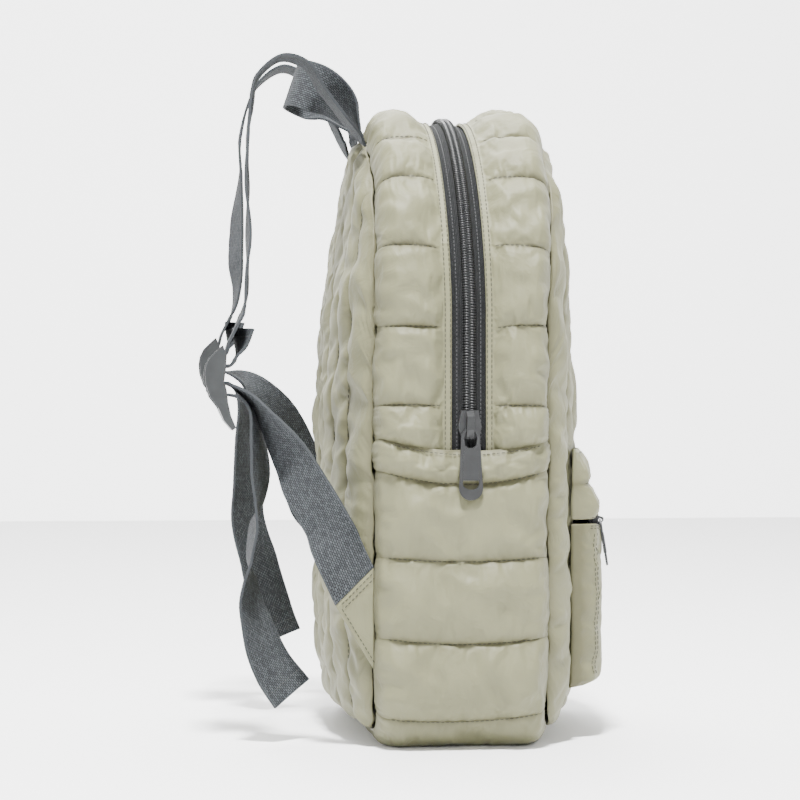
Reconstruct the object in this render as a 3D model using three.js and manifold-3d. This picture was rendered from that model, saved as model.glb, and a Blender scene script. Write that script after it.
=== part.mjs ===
// Quilted puffer backpack. Millimetres, +Z up. The pocket faces -Y, the wearer's back +Y, and the
// wearer's left is -X. The origin is the middle of the flat underside.
import * as THREE from "three";
import { mergeVertices } from "three/addons/utils/BufferGeometryUtils.js";
import Module from "manifold-3d";

const wasm = await Module();
wasm.setup();

// Body of the bag. Its outline from the front is a straight-sided arch. The side strips bulge
// beyond the seams that hold the front and back panels.
const bagWidth = 250;
const bagHeight = 385;
const bagDepth = 103;
const sideBulge = 19;
const baseBulge = 10;
const cornerRadius = 35;
const zipperEnd = 174;
const backBulge = 24;
const frontBulge = 27;
const topForward = 7;
const topBackward = -2.5;

// Cloth
const padding = 6;
const flatCloth = 2;
const quiltDip = 3.5;
const seamGap = 0.3;
const baseSettle = 1.2;
const innerLean = 3.6;

// Main zipper
const zipperOffset = -3;
const zipperDrift = 3;
const zipperWidth = 20;
const zipperTuck = 6;
const weltRise = 12;
const tapeRise = 12.6;
const tapeThickness = 1;
const coilWidth = 7.2;
const coilThickness = 2.5;
const sliderRise = 16;
const sliderLength = 16.7;
const sliderWidth = 14;
const sliderThickness = 3.3;
const pullLength = 41;
const pullWidth = 14;
const pullThickness = 1.8;
const pullLean = 4.5;
const pullPanelRise = 0.3;
const bridgeWall = 1;
const axisClearance = 0.7;

// Pocket
const pocketWidth = 160;
const pocketBottom = 31;
const pocketTop = 175;
const pocketZipHeight = 131;
const pocketDepth = 15.5;
const pocketWall = 2.5;
const pocketGap = 6;
const pocketTapeHeight = 12;
const pocketCoilWidth = 4.4;
const pocketCoilThickness = 1.6;
const pocketSliderPlace = 58;
const pocketSliderLength = 9;
const pocketSliderThickness = 2.2;
const pocketPullLength = 28;
const pocketPullWidth = 8;
const pocketPullThickness = 1.3;
const pocketPullLean = 9;

// Straps
const webWidth = 30;
const webThickness = 1.6;
const webGap = 0.8;
const strapReach = 100;
const strapSpread = 70;
const strapRise = 157;
const strapHold = 63;
const tabInset = 17.2;
const handleSpread = 22;
const buckleHeight = 228;
const buckleReach = 140;
const buckleLift = 8;
const buckleLength = 50;
const buckleRail = 3.5;
const lowerBarOut = 4;
const lowerBarDrop = 17;
const barRadius = 2;
const tabThickness = 2.4;
const tabTop = 106.6;
const tabFoot = 46.6;
const tabSlant = 45;
const webSlant = 65;
const tabTurn = 55;

const crownRadius = bagWidth / 2;
const archHeight = bagHeight - crownRadius;
const seamRadius = crownRadius - sideBulge;
const tabSpread = crownRadius - tabInset;
const seamY = bagDepth / 2;

// Half depths of the bag at the seams of the panels. Over the arch the seams and the zipper lean.
function overArch(z) {
  return clamp((z - archHeight) / seamRadius, 0, 1);
}

function seamPlace(side, z) {
  return side * (seamY + (side < 0 ? topForward : topBackward) * overArch(z));
}

function zipperPlace(z) {
  return zipperOffset + zipperDrift * overArch(z);
}

const sage = 0xa9a792;
const charcoal = 0x55575a;
const gunmetal = 0x4a4d50;

const clothLook = { color: sage, roughness: 0.75, metalness: 0 };
const webLook = { color: charcoal, roughness: 0.85, metalness: 0 };
const plasticLook = { color: 0x5b6062, roughness: 0.45, metalness: 0 };
const metalLook = { color: gunmetal, roughness: 0.4, metalness: 0.6 };

const root = new THREE.Group();

function addMesh(name, geometry, look, parent = root) {
  const mesh = new THREE.Mesh(geometry, new THREE.MeshStandardMaterial(look));
  mesh.name = name;
  parent.add(mesh);
  return mesh;
}

function positionsOnly(geometry) {
  const bare = geometry.clone();
  bare.deleteAttribute("normal");
  bare.deleteAttribute("uv");
  return mergeVertices(bare, 1e-4);
}

function mix(a, b, share) {
  return a + (b - a) * share;
}

function clamp(value, low, high) {
  return Math.min(Math.max(value, low), high);
}

// The value of one column of a table at a place along another column
function readTable(table, placeName, valueName, place) {
  const next = table.findIndex((row) => row[placeName] >= place);
  if (next <= 0) return (next < 0 ? table.at(-1) : table[0])[valueName];
  const a = table[next - 1];
  const b = table[next];
  const share = (place - a[placeName]) / (b[placeName] - a[placeName]);
  return mix(a[valueName], b[valueName], share);
}

// A closed slab over a grid. place(u, v, outer) gives a point of its inner or outer face, where
// u and v are entries of the two lists.
function slab(alongList, acrossList, place) {
  const columns = alongList.length - 1;
  const rows = acrossList.length - 1;
  const box = positionsOnly(new THREE.BoxGeometry(1, 1, 1, columns, rows, 1));
  const points = box.attributes.position;
  for (let i = 0; i < points.count; i++) {
    const column = Math.round((points.getX(i) + 0.5) * columns);
    const row = Math.round((points.getY(i) + 0.5) * rows);
    const spot = place(alongList[column], acrossList[row], points.getZ(i) > 0, column, row);
    points.setXYZ(i, spot.x, spot.y, spot.z);
  }
  return facingOut(box);
}

// Turns the faces of a closed mesh outwards
function facingOut(geometry) {
  const p = geometry.attributes.position;
  const index = geometry.index.array;
  const corner = [new THREE.Vector3(), new THREE.Vector3(), new THREE.Vector3()];
  let volume = 0;
  for (let i = 0; i < index.length; i += 3) {
    corner.forEach((c, k) => c.fromBufferAttribute(p, index[i + k]));
    volume += corner[0].dot(corner[1].cross(corner[2]));
  }
  if (volume < 0) {
    for (let i = 0; i < index.length; i += 3) {
      [index[i + 1], index[i + 2]] = [index[i + 2], index[i + 1]];
    }
  }
  return geometry;
}

function toSolid(geometry) {
  const merged = positionsOnly(geometry);
  return new wasm.Manifold(
    new wasm.Mesh({
      numProp: 3,
      vertProperties: merged.attributes.position.array,
      triVerts: new Uint32Array(merged.index.array),
    }),
  );
}

function fromSolid(solid) {
  const mesh = solid.getMesh();
  const geometry = new THREE.BufferGeometry();
  geometry.setAttribute("position", new THREE.BufferAttribute(mesh.vertProperties, 3));
  geometry.setIndex(new THREE.BufferAttribute(mesh.triVerts, 1));
  return geometry;
}

function join(geometries) {
  return fromSolid(geometries.map(toSolid).reduce((all, next) => all.add(next)));
}

// Stations of the side strips. Each has its point on the seam, on the crown and the way out.
function station(seamX, seamZ, crownX, crownZ, outX, outZ) {
  return {
    seam: new THREE.Vector2(seamX, seamZ),
    crown: new THREE.Vector2(crownX, crownZ),
    out: new THREE.Vector2(outX, outZ),
  };
}

// From the zipper's end on the left (0) over the top to its end on the right (1)
function archStation(share) {
  const straight = archHeight - zipperEnd;
  const arc = Math.PI * crownRadius;
  const along = share * (2 * straight + arc);
  if (along < straight || along > straight + arc) {
    const side = along < straight ? -1 : 1;
    const height = zipperEnd + (along < straight ? along : 2 * straight + arc - along);
    return station(side * seamRadius, height, side * crownRadius, height, side, 0);
  }
  const angle = (along - straight) / crownRadius;
  const x = -Math.cos(angle);
  const z = Math.sin(angle);
  return station(
    seamRadius * x, archHeight + seamRadius * z, crownRadius * x, archHeight + crownRadius * z, x, z,
  );
}

// From the zipper's end on the left (0) under the base to its end on the right (1)
function baseStation(share) {
  const side = share < 0.5 ? -1 : 1;
  const flat = crownRadius - cornerRadius;
  const arc = (cornerRadius * Math.PI) / 2;
  const straight = zipperEnd - seamGap - cornerRadius;
  const along = Math.abs(share - 0.5) * 2 * (flat + arc + straight);
  if (along <= flat) return station(side * along, baseBulge, side * along, 0, 0, -1);
  if (along >= flat + arc) {
    const height = cornerRadius + along - flat - arc;
    return station(side * seamRadius, height, side * crownRadius, height, side, 0);
  }
  const angle = (along - flat) / cornerRadius;
  const x = Math.sin(angle);
  const z = Math.cos(angle);
  const seamX = flat + (cornerRadius - sideBulge) * x;
  const seamZ = cornerRadius - (cornerRadius - baseBulge) * z;
  const crownX = flat + cornerRadius * x;
  const crownZ = cornerRadius - cornerRadius * z;
  return station(side * seamX, seamZ, side * crownX, crownZ, side * x, -z);
}

// Places along a strip: the quilt lines, and a few rows in each puff between them. The swell of a
// row is 0 on a quilt line and 1 at the top of a puff.
function quiltRows(lines, steps, endSwell = 1) {
  const rows = [];
  for (let i = 0; i < lines.length - 1; i++) {
    const full = i === 0 || i === lines.length - 2 ? endSwell : 1;
    for (const step of steps) {
      const swell = full * Math.sin(Math.PI * step) ** 0.6;
      rows.push({ share: mix(lines[i], lines[i + 1], step), swell });
    }
  }
  rows.push({ share: 1, swell: 0 });
  return rows;
}

// A quilted strip swept along its stations. Each row of the profile has its share of the way
// between the two edges, its rise as a share of the bulge, and its fill, from 0 where the cloth is
// flat to 1 where it is padded. edges(z) gives the places of both edges in Y.
function quiltStrip(stationAt, rows, profile, edges) {
  return slab(rows, profile, (row, spot, outer) => {
    const at = stationAt(row.share);
    const [from, to] = edges(at.seam.y);
    const base = at.seam.clone().lerp(at.crown, spot.rise);
    const dip = quiltDip * spot.fill * (1 - row.swell);
    const thickness = mix(flatCloth, padding, spot.fill);
    base.addScaledVector(at.out, outer ? -dip : -thickness);
    const inward = outer ? 0 : innerLean * spot.rise * spot.steep * Math.sign(to - from);
    let z = base.y;
    if (outer && at.out.y < 0) z = Math.max(z - baseSettle, 0);
    return new THREE.Vector3(base.x, mix(from, to, spot.across) + inward, z);
  });
}

// Side strips below the zipper: heights of the quilt lines as shares of the way to the zipper's end
const sideLines = [
  { down: 0 }, { down: 0.058 }, { down: 0.214 }, { down: 0.38 }, { down: 0.55 }, { down: 0.754 },
  { down: 0.912 },
];
const baseLines = [
  ...sideLines.map((line) => line.down / 2),
  ...sideLines.map((line) => 1 - line.down / 2).reverse(),
];
const puffSteps = [0, 0.18, 0.5, 0.82];
const baseProfile = [
  { across: 0, rise: 0, fill: 0, steep: 1 },
  { across: 0.03, rise: 0.55, fill: 0.3, steep: 1 },
  { across: 0.08, rise: 0.88, fill: 0.8, steep: 1 },
  { across: 0.16, rise: 1, fill: 1, steep: 1 },
  { across: 0.35, rise: 1, fill: 1, steep: 0 },
  { across: 0.58, rise: 1, fill: 1, steep: 0 },
  { across: 0.84, rise: 1, fill: 1, steep: -1 },
  { across: 0.92, rise: 0.88, fill: 0.8, steep: -1 },
  { across: 0.97, rise: 0.55, fill: 0.3, steep: -1 },
  { across: 1, rise: 0, fill: 0, steep: -1 },
];
const zipperEndSwell = 0.5;
const baseRows = quiltRows(baseLines, puffSteps, zipperEndSwell);
const baseEdges = (z) => [-1, 1].map((side) => seamPlace(side, z) - side * seamGap);
addMesh("base_gusset", quiltStrip(baseStation, baseRows, baseProfile, baseEdges), clothLook);

// Side strips over the arch: the quilt lines as shares of the way from one end to the other
const archLines = [0, 0.046, 0.129, 0.215, 0.3014, 0.3744, 0.455];
const topLines = [...archLines, ...archLines.map((line) => 1 - line).reverse()];
const topSteps = [0, 0.25, 0.75];
const topRows = quiltRows(topLines, topSteps);
const stripProfile = [
  { across: 0, rise: 0, fill: 0, steep: 1 },
  { across: 0.08, rise: 0.55, fill: 0.3, steep: 1 },
  { across: 0.2, rise: 0.9, fill: 0.8, steep: 1 },
  { across: 0.4, rise: 1, fill: 1, steep: 0 },
  { across: 0.62, rise: 0.98, fill: 1, steep: 0 },
  { across: 0.82, rise: 0.8, fill: 0.5, steep: 0 },
  { across: 0.9, rise: weltRise / sideBulge, fill: 0, steep: 0 },
  { across: 1, rise: weltRise / sideBulge, fill: 0, steep: 0 },
];
for (const [name, side] of [["top_gusset_back", 1], ["top_gusset_front", -1]]) {
  const edges = (z) => [seamPlace(side, z) - side * seamGap, zipperPlace(z) + (side * zipperWidth) / 2];
  addMesh(name, quiltStrip(archStation, topRows, stripProfile, edges), clothLook);
}

// Tapes and coil of the main zipper
const tapeUnder = weltRise - flatCloth - seamGap;
const plainRows = (count, from = 0, to = 1) =>
  Array.from({ length: count + 1 }, (_, i) => mix(from, to, i / count));

// Places along the zipper: the rows of the cloth strips beside it, between two ends
function zipperRows(from, to) {
  const between = topRows.map((row) => row.share).filter((share) => share > from && share < to);
  return [from, ...between, to];
}

function heightStrip(rows, profile) {
  return slab(rows, profile, (share, spot, outer) => {
    const at = archStation(share);
    const rise = outer ? spot.top : spot.bottom;
    const base = at.seam.clone().addScaledVector(at.out, rise);
    return new THREE.Vector3(base.x, zipperPlace(at.seam.y) + spot.off, base.y);
  });
}
const archLength = 2 * (archHeight - zipperEnd) + Math.PI * crownRadius;
const tapeEnd = seamGap / archLength;
for (const [name, side] of [["zipper_tape_back", 1], ["zipper_tape_front", -1]]) {
  const profile = [
    { off: side * (zipperWidth / 2 + zipperTuck), top: tapeUnder },
    { off: (side * zipperWidth) / 2, top: tapeUnder },
    { off: (side * coilWidth) / 2, top: tapeRise - seamGap },
    { off: side * seamGap, top: tapeRise },
  ].map((row) => ({ ...row, bottom: row.top - tapeThickness }));
  addMesh(name, heightStrip(zipperRows(tapeEnd, 1 - tapeEnd), profile), webLook);
}
const coilTop = tapeRise + seamGap + coilThickness;
const coilBottom = tapeRise + seamGap;
const coilProfile = [
  { half: -1, top: 0.4 }, { half: -0.5, top: 1 }, { half: 0.5, top: 1 }, { half: 1, top: 0.4 },
].map((row) => ({
  off: (row.half * coilWidth) / 2,
  top: mix(coilBottom, coilTop, row.top),
  bottom: coilBottom,
}));
const sliderHeight = zipperEnd + sliderRise;
const sliderTop = sliderHeight + sliderLength / 2;
const coilFrom = (sliderTop + seamGap - zipperEnd) / archLength;
addMesh("zipper_coil", heightStrip(zipperRows(coilFrom, 1 - tapeEnd * 4), coilProfile), webLook);

// Slider. In its own group X points out of the bag's left side, and Z is up.
function extruded(shape, depth, from = 0, segments = 6) {
  const geometry = new THREE.ExtrudeGeometry(shape, {
    depth, bevelEnabled: false, curveSegments: segments,
  });
  return geometry.translate(0, 0, from);
}

// Takes a shape drawn in X and Y with its thickness in Z to one drawn across and up
function standUp(geometry) {
  return geometry.applyMatrix4(new THREE.Matrix4().set(0, 0, -1, 0, -1, 0, 0, 0, 0, 1, 0, 0, 0, 0, 0, 1));
}

function outline(points) {
  return new THREE.Shape(points.map(([x, y]) => new THREE.Vector2(x, y)));
}

function sliderGeometry(width, length, thickness, axisUp, axisOut, eye) {
  const body = outline([
    [-0.36 * width, length / 2], [-0.5 * width, -0.08 * length], [-0.4 * width, -0.36 * length],
    [-0.16 * width, -0.5 * length], [0.16 * width, -0.5 * length], [0.4 * width, -0.36 * length],
    [0.5 * width, -0.08 * length], [0.36 * width, length / 2],
  ]);
  const bridgeWidth = width * 0.31;
  const bridge = outline([
    [0.48 * length, thickness - bridgeWall / 2], [0.46 * length, thickness + bridgeWall],
    [0.3 * length, axisOut + eye + bridgeWall], [axisUp, axisOut + eye + bridgeWall],
    [axisUp - eye - bridgeWall, axisOut + eye / 2], [-0.46 * length, thickness + bridgeWall],
    [-0.48 * length, thickness - bridgeWall / 2],
  ]);
  const hole = new THREE.Path();
  hole.absarc(axisUp, axisOut, eye, 0, Math.PI * 2, true);
  bridge.holes.push(hole);
  const plate = standUp(extruded(body, thickness));
  const arch = extruded(bridge, bridgeWidth, -bridgeWidth / 2, 8);
  arch.applyMatrix4(new THREE.Matrix4().set(0, -1, 0, 0, 0, 0, -1, 0, 1, 0, 0, 0, 0, 0, 0, 1));
  return { plate, arch };
}

function pullGeometry(width, length, thickness, crossbar) {
  const foot = width / 2;
  const head = foot * 0.78;
  const shape = new THREE.Shape();
  shape.moveTo(-head * 0.5, crossbar);
  shape.lineTo(-head, -crossbar * 3);
  shape.lineTo(-foot, -length + foot);
  shape.absarc(0, -length + foot, foot, Math.PI, 2 * Math.PI, false);
  shape.lineTo(head, -crossbar * 3);
  shape.lineTo(head * 0.5, crossbar);
  const slot = outline([
    [-head * 0.45, -crossbar], [head * 0.45, -crossbar], [head * 0.7, -0.1 * length],
    [head * 0.6, -0.22 * length], [0, -0.275 * length], [-head * 0.6, -0.22 * length],
    [-head * 0.7, -0.1 * length],
  ]);
  const hole = new THREE.Path();
  hole.absellipse(0, -length + foot * 1.45, foot * 0.7, foot * 0.56, 0, 2 * Math.PI, true);
  shape.holes.push(slot, hole);
  const panel = new THREE.Shape();
  panel.absarc(0, -0.36 * length, foot * 0.62, 0, Math.PI, false);
  panel.lineTo(-foot * 0.66, -0.72 * length);
  panel.lineTo(foot * 0.66, -0.72 * length);
  const plate = extruded(shape, thickness, -thickness / 2, 10);
  const raised = extruded(panel, thickness + 2 * pullPanelRise, -thickness / 2 - pullPanelRise, 8);
  return join([plate, raised]);
}

const crossbar = pullThickness / 2;
const eyeSlack = 0.35;
const sliderBase = coilBottom;
const pullAxisOut = sliderThickness + crossbar + axisClearance;
const pullAxisUp = -0.18 * sliderLength;
const slider = sliderGeometry(
  sliderWidth, sliderLength, sliderThickness, pullAxisUp, pullAxisOut, crossbar * Math.SQRT2 + eyeSlack,
);
const sliderGroup = new THREE.Group();
sliderGroup.position.set(-seamRadius - sliderBase, zipperOffset, sliderHeight);
root.add(sliderGroup);
addMesh("zipper_slider", join([slider.plate, slider.arch]), metalLook, sliderGroup);
const pullGroup = new THREE.Group();
pullGroup.position.set(-pullAxisOut, 0, pullAxisUp);
pullGroup.rotation.y = THREE.MathUtils.degToRad(pullLean);
sliderGroup.add(pullGroup);
addMesh(
  "zipper_pull", standUp(pullGeometry(pullWidth, pullLength, pullThickness, crossbar)), metalLook, pullGroup,
);

// Front and back panels. The bulge is a quick rise at the seam and a wide dome.
const rimRise = 5;
const rimReach = 14;
const domeBack = [
  { up: 0, share: 0 }, { up: 0.023, share: 0.57 }, { up: 0.047, share: 0.79 }, { up: 0.108, share: 0.94 },
  { up: 0.17, share: 1 }, { up: 0.5, share: 1 }, { up: 0.56, share: 0.94 }, { up: 0.683, share: 0.745 },
  { up: 0.754, share: 0.59 }, { up: 0.827, share: 0.39 }, { up: 0.924, share: 0.17 }, { up: 1, share: 0 },
];
const domeFront = [
  { up: 0, share: 0.1 }, { up: 0.03, share: 0.75 }, { up: 0.07, share: 0.94 }, { up: 0.15, share: 1 },
  { up: 0.5, share: 1 }, { up: 0.6, share: 0.94 }, { up: 0.68, share: 0.84 }, { up: 0.735, share: 0.75 },
  { up: 0.81, share: 0.52 }, { up: 0.887, share: 0.25 }, { up: 0.924, share: 0.12 }, { up: 1, share: 0 },
];
const archTop = archHeight + seamRadius;

function panelBottom(x) {
  const flat = crownRadius - cornerRadius;
  const over = clamp((Math.abs(x) - flat) / (seamRadius - flat), 0, 1);
  return cornerRadius - (cornerRadius - baseBulge) * Math.sqrt(1 - over * over);
}

function panelTop(x) {
  return archHeight + Math.sqrt(Math.max(seamRadius ** 2 - x * x, 0));
}

// Distance from a point of a panel to its seam
function seamDistance(x, z) {
  const side = z > archHeight ? seamRadius - Math.hypot(x, z - archHeight) : seamRadius - Math.abs(x);
  return Math.max(Math.min(side, z - panelBottom(x)), 0);
}

// How far a panel's cloth stands out of its seam, without the quilt lines
function panelRise(x, z, dome, bulge) {
  const near = clamp(seamDistance(x, z) / rimReach, 0, 1);
  const rim = rimRise * (1 - (1 - near) ** 2);
  const up = (z - baseBulge) / (archTop - baseBulge);
  const halfWidth = z > archHeight ? panelHalfWidth(z) : seamRadius;
  const across = halfWidth > 0 ? clamp(Math.abs(x) / halfWidth, 0, 1) : 1;
  return rim + (bulge - rimRise) * readTable(dome, "up", "share", up) * (1 - across ** 2.4);
}

function panelHalfWidth(z) {
  return Math.sqrt(Math.max(seamRadius ** 2 - (z - archHeight) ** 2, 0));
}

const channels = 8;
const channelWidth = (2 * seamRadius) / channels;
const sideColumns = [
  { across: 0.5 }, { across: 0.625 }, { across: 0.75 }, { across: 0.85 }, { across: 0.93 },
  { across: 0.98 }, { across: 1 },
];
const panelColumns = [
  ...sideColumns.map((row) => -row.across).reverse(), -0.375, -0.25, -0.125, 0, 0.125, 0.25, 0.375,
  ...sideColumns.map((row) => row.across),
];
const panelRows = [0, 0.012, 0.03, 0.07, 0.15, 0.3, 0.46, 0.58, 0.7, 0.8, 0.88, 0.94, 0.98, 1];

function panelGeometry(side, dome, bulge) {
  return slab(panelColumns, panelRows, (across, up, outer) => {
    const x = across * seamRadius;
    const z = mix(panelBottom(x), panelTop(x), up);
    const near = clamp(seamDistance(x, z) / rimReach, 0, 1);
    const line = 1 - Math.abs(Math.sin((Math.PI * x) / channelWidth)) ** 0.6;
    const rise = panelRise(x, z, dome, bulge) - quiltDip * line * near;
    const inner = Math.max(rise - mix(0, padding - flatCloth, near), 0);
    return new THREE.Vector3(x, seamPlace(side, z) + side * (outer ? flatCloth + rise : inner), z);
  });
}
addMesh("back_panel", panelGeometry(1, domeBack, backBulge), clothLook);
addMesh("front_panel", panelGeometry(-1, domeFront, frontBulge), clothLook);

// Front pocket and the quilted band over its zipper. Both stand on the front panel.
function onPanel(x, z) {
  return seamY + flatCloth + panelRise(x, z, domeFront, frontBulge) + 2 * seamGap;
}

function edgeRise(distance, reach) {
  const near = clamp(distance / reach, 0, 1);
  return Math.sqrt(1 - (1 - near) ** 2);
}

const pocketEdge = 7;
const pocketHalf = pocketWidth / 2;
const pocketColumns = [
  -1, -0.985, -0.955, -0.9, -0.75, -0.5, -0.25, 0, 0.25, 0.5, 0.75, 0.9, 0.955, 0.985, 1,
];
const pocketRows = [0, 0.012, 0.035, 0.08, 0.2, 0.45, 0.75, 1];
const pouch = slab(pocketColumns, pocketRows, (across, up, outer) => {
  const top = pocketZipHeight - pocketGap / 2;
  const skin = outer ? 0 : pocketWall;
  const x = across * (pocketHalf - skin);
  const z = mix(pocketBottom + skin, top, up);
  const side = edgeRise(pocketHalf - skin - Math.abs(x), pocketEdge);
  const foot = edgeRise(z - pocketBottom - skin, pocketEdge);
  const depth = (pocketDepth - skin) * side * foot;
  return new THREE.Vector3(x, -(onPanel(x, z) + depth), z);
});
addMesh("front_pocket", pouch, clothLook);

const bandRows = [
  { up: 0, out: 0.86 }, { up: 0.12, out: 0.97 }, { up: 0.22, out: 1 }, { up: 0.36, out: 0.8 },
  { up: 0.46, out: 0.62 }, { up: 0.56, out: 0.6 }, { up: 0.74, out: 0.5 }, { up: 0.88, out: 0.26 },
  { up: 0.96, out: 0.16 }, { up: 1, out: 0 },
];
const band = slab(pocketColumns, bandRows, (across, row, outer) => {
  const from = pocketZipHeight + pocketGap / 2;
  const skin = outer ? 0 : pocketWall;
  const x = across * (pocketHalf - skin);
  const z = mix(from, pocketTop - skin, row.up);
  const side = edgeRise(pocketHalf - skin - Math.abs(x), pocketEdge);
  const depth = Math.max(pocketDepth * row.out - skin, 0) * side + (outer ? flatCloth * (1 - row.out) : 0);
  return new THREE.Vector3(x, -(onPanel(x, z) + depth), z);
});
addMesh("pocket_band", band, clothLook);

// Webbing. Each row has its place as shares: across of the spread, out of the reach beyond the
// panels' seam. wide is the way across the webbing. Heights of the handle are shares of the bag's.
function webSpot(row, spread, z) {
  return new THREE.Vector3(row.across * spread, seamY + row.out * strapReach, z);
}

function handlePoint(row) {
  return webSpot(row, handleSpread, row.up * bagHeight);
}

// Heights of the straps are in buckle lengths from the buckle's upper bar. Near the buckle they hold
// their distance from it, and further up they follow the bag's top, strapRise above the bar.
function strapPoint(row) {
  const rise = row.up * buckleLength;
  const follow = clamp((rise - strapHold) / strapHold, 0, 1);
  const stretch = bagHeight - buckleHeight - strapRise;
  return webSpot(row, strapSpread, buckleHeight + rise + stretch * follow);
}

// A band of webbing through its rows. Its first end can be cut at a slant, along the line "cut".
function webbing(rows, count, cut) {
  const path = new THREE.CatmullRomCurve3(rows.map((row) => row.spot), false, "centripetal");
  const wide = new THREE.CatmullRomCurve3(rows.map((row) => row.wide), false, "centripetal");
  return slab(plainRows(count), [-0.5, 0.5], (place, across, outer) => {
    const along = path.getTangent(place);
    const w = wide.getPoint(place);
    w.addScaledVector(along, -w.dot(along)).normalize();
    const normal = new THREE.Vector3().crossVectors(w, along);
    if (cut && place === 0) w.copy(cut).divideScalar(cut.dot(w));
    const side = (outer ? 0.5 : -0.5) * webThickness;
    return path.getPoint(place).addScaledVector(w, across * webWidth).addScaledVector(normal, side);
  });
}

// Rows that lead a strap round a bar, at angles from straight back (+Y) towards straight up (+Z)
function roundBar(x, bar, angles, wide) {
  const radius = barRadius + webGap + webThickness / 2;
  return angles.map((degrees) => {
    const a = THREE.MathUtils.degToRad(degrees);
    const spot = new THREE.Vector3(x, bar.y + radius * Math.cos(a), bar.z + radius * Math.sin(a));
    return { spot, wide };
  });
}

const upperBar = new THREE.Vector3(0, buckleReach, buckleHeight);
const lowerBar = new THREE.Vector3(0, buckleReach + lowerBarOut, buckleHeight - lowerBarDrop);
const flatWide = new THREE.Vector3(1, 0, 0);

const strapTables = {
  left: [
    { across: -0.57, out: 0.03, up: 2.7103, twist: 0 },
    { across: -0.6, out: 0.055, up: 2.7935, twist: 0 },
    { across: -0.69, out: 0.15, up: 3.0091, twist: 0 },
    { across: -0.74, out: 0.266, up: 3.294, twist: 0 },
    { across: -0.8, out: 0.372, up: 3.5866, twist: 0 },
    { across: -0.81, out: 0.518, up: 3.6559, twist: 0 },
    { across: -0.81, out: 0.657, up: 3.4326, twist: -0.05 },
    { across: -0.83, out: 0.691, up: 3.2016, twist: -0.1 },
    { across: -0.87, out: 0.719, up: 2.7165, twist: 0 },
    { across: -0.91, out: 0.726, up: 2.139, twist: -0.1 },
    { across: -0.94, out: 0.718, up: 1.5461, twist: 0.05 },
    { across: -0.99, out: 0.731, up: 0.8685, twist: -0.1 },
    { across: -1, out: 0.752, up: 0.5836, twist: 0 },
    { across: -1, out: 0.79, up: 0.4142, twist: 0 },
    { across: -1, out: 0.838, up: 0.214, twist: 0 },
  ],
  right: [
    { across: 0.57, out: 0.03, up: 2.7103, twist: 0 },
    { across: 0.6, out: 0.055, up: 2.7935, twist: 0 },
    { across: 0.66, out: 0.12, up: 3.063, twist: 0 },
    { across: 0.71, out: 0.2, up: 3.4095, twist: 0 },
    { across: 0.77, out: 0.31, up: 3.7175, twist: 0 },
    { across: 0.8, out: 0.45, up: 3.833, twist: 0 },
    { across: 0.81, out: 0.6, up: 3.6405, twist: 0 },
    { across: 0.83, out: 0.656, up: 3.4326, twist: 0 },
    { across: 0.86, out: 0.72, up: 2.9167, twist: 0 },
    { across: 0.87, out: 0.717, up: 2.4701, twist: 0 },
    { across: 0.91, out: 0.738, up: 1.8541, twist: 0.2 },
    { across: 0.94, out: 0.747, up: 1.3459, twist: 0.25 },
    { across: 0.97, out: 0.74, up: 0.9686, twist: 0.1 },
    { across: 1, out: 0.765, up: 0.676, twist: 0 },
    { across: 1, out: 0.838, up: 0.3757, twist: 0 },
  ],
};
const foldTable = [
  { out: 0.83, up: -0.0616, twist: 0 }, { out: 0.79, up: 0.0462, twist: 0 },
  { out: 0.765, up: 0.1694, twist: 0.2 }, { out: 0.75, up: 0.385, twist: 0.4 },
];

// The right buckle hangs higher, and its tab is turned out of the bag's side
const sides = [
  { name: "left", side: -1, lift: 0, turn: 0 },
  { name: "right", side: 1, lift: buckleLift, turn: tabTurn },
];

for (const { name, side, lift } of sides) {
  const rows = strapTables[name].map((row) => ({
    spot: strapPoint(row),
    wide: new THREE.Vector3(1, row.twist, 0),
  }));
  const bar = upperBar.clone().setZ(upperBar.z + lift);
  rows.push(...roundBar(side * strapSpread, bar, [125, 60, 0, -60, -110], flatWide));
  for (const row of foldTable) {
    const spot = webSpot({ across: side, out: row.out }, strapSpread, bar.z + row.up * buckleLength);
    rows.push({ spot, wide: new THREE.Vector3(1, row.twist, 0) });
  }
  addMesh("strap_" + name, webbing(rows, 64), webLook);
}

// Buckles. Their outline from the side is drawn in Y and Z as shares of the length, from the upper
// bar, and the two rails share it.
const railOutline = [
  { out: -0.012, up: 0.176 }, { out: 0.052, up: 0.116 }, { out: 0.136, up: 0.034 },
  { out: 0.182, up: -0.06 }, { out: 0.198, up: -0.162 }, { out: 0.188, up: -0.284 },
  { out: 0.136, up: -0.436 }, { out: 0.042, up: -0.56 }, { out: -0.03, up: -0.72 },
  { out: -0.128, up: -0.834 }, { out: -0.17, up: -0.8 }, { out: -0.11, up: -0.66 },
  { out: -0.075, up: -0.5 }, { out: -0.06, up: -0.36 }, { out: -0.03, up: -0.25 },
  { out: -0.05, up: -0.1 }, { out: -0.06, up: 0.06 },
];
const lipOutline = [
  { out: -0.03, up: -0.56 }, { out: 0.03, up: -0.57 }, { out: -0.03, up: -0.72 },
  { out: -0.128, up: -0.834 }, { out: -0.165, up: -0.8 }, { out: -0.1, up: -0.68 },
];

function railShape(rows) {
  return outline(rows.map((row) => [row.out * buckleLength, row.up * buckleLength]));
}

// Takes a shape drawn in Y and Z, with its thickness along X
function sideways(geometry) {
  return geometry.applyMatrix4(new THREE.Matrix4().set(0, 0, 1, 0, 1, 0, 0, 0, 0, 1, 0, 0, 0, 0, 0, 1));
}

function crossBar(span, bar) {
  const rod = new THREE.CylinderGeometry(barRadius, barRadius, span, 10);
  return rod.rotateZ(Math.PI / 2).translate(0, bar.y - upperBar.y, bar.z - upperBar.z);
}

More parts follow.
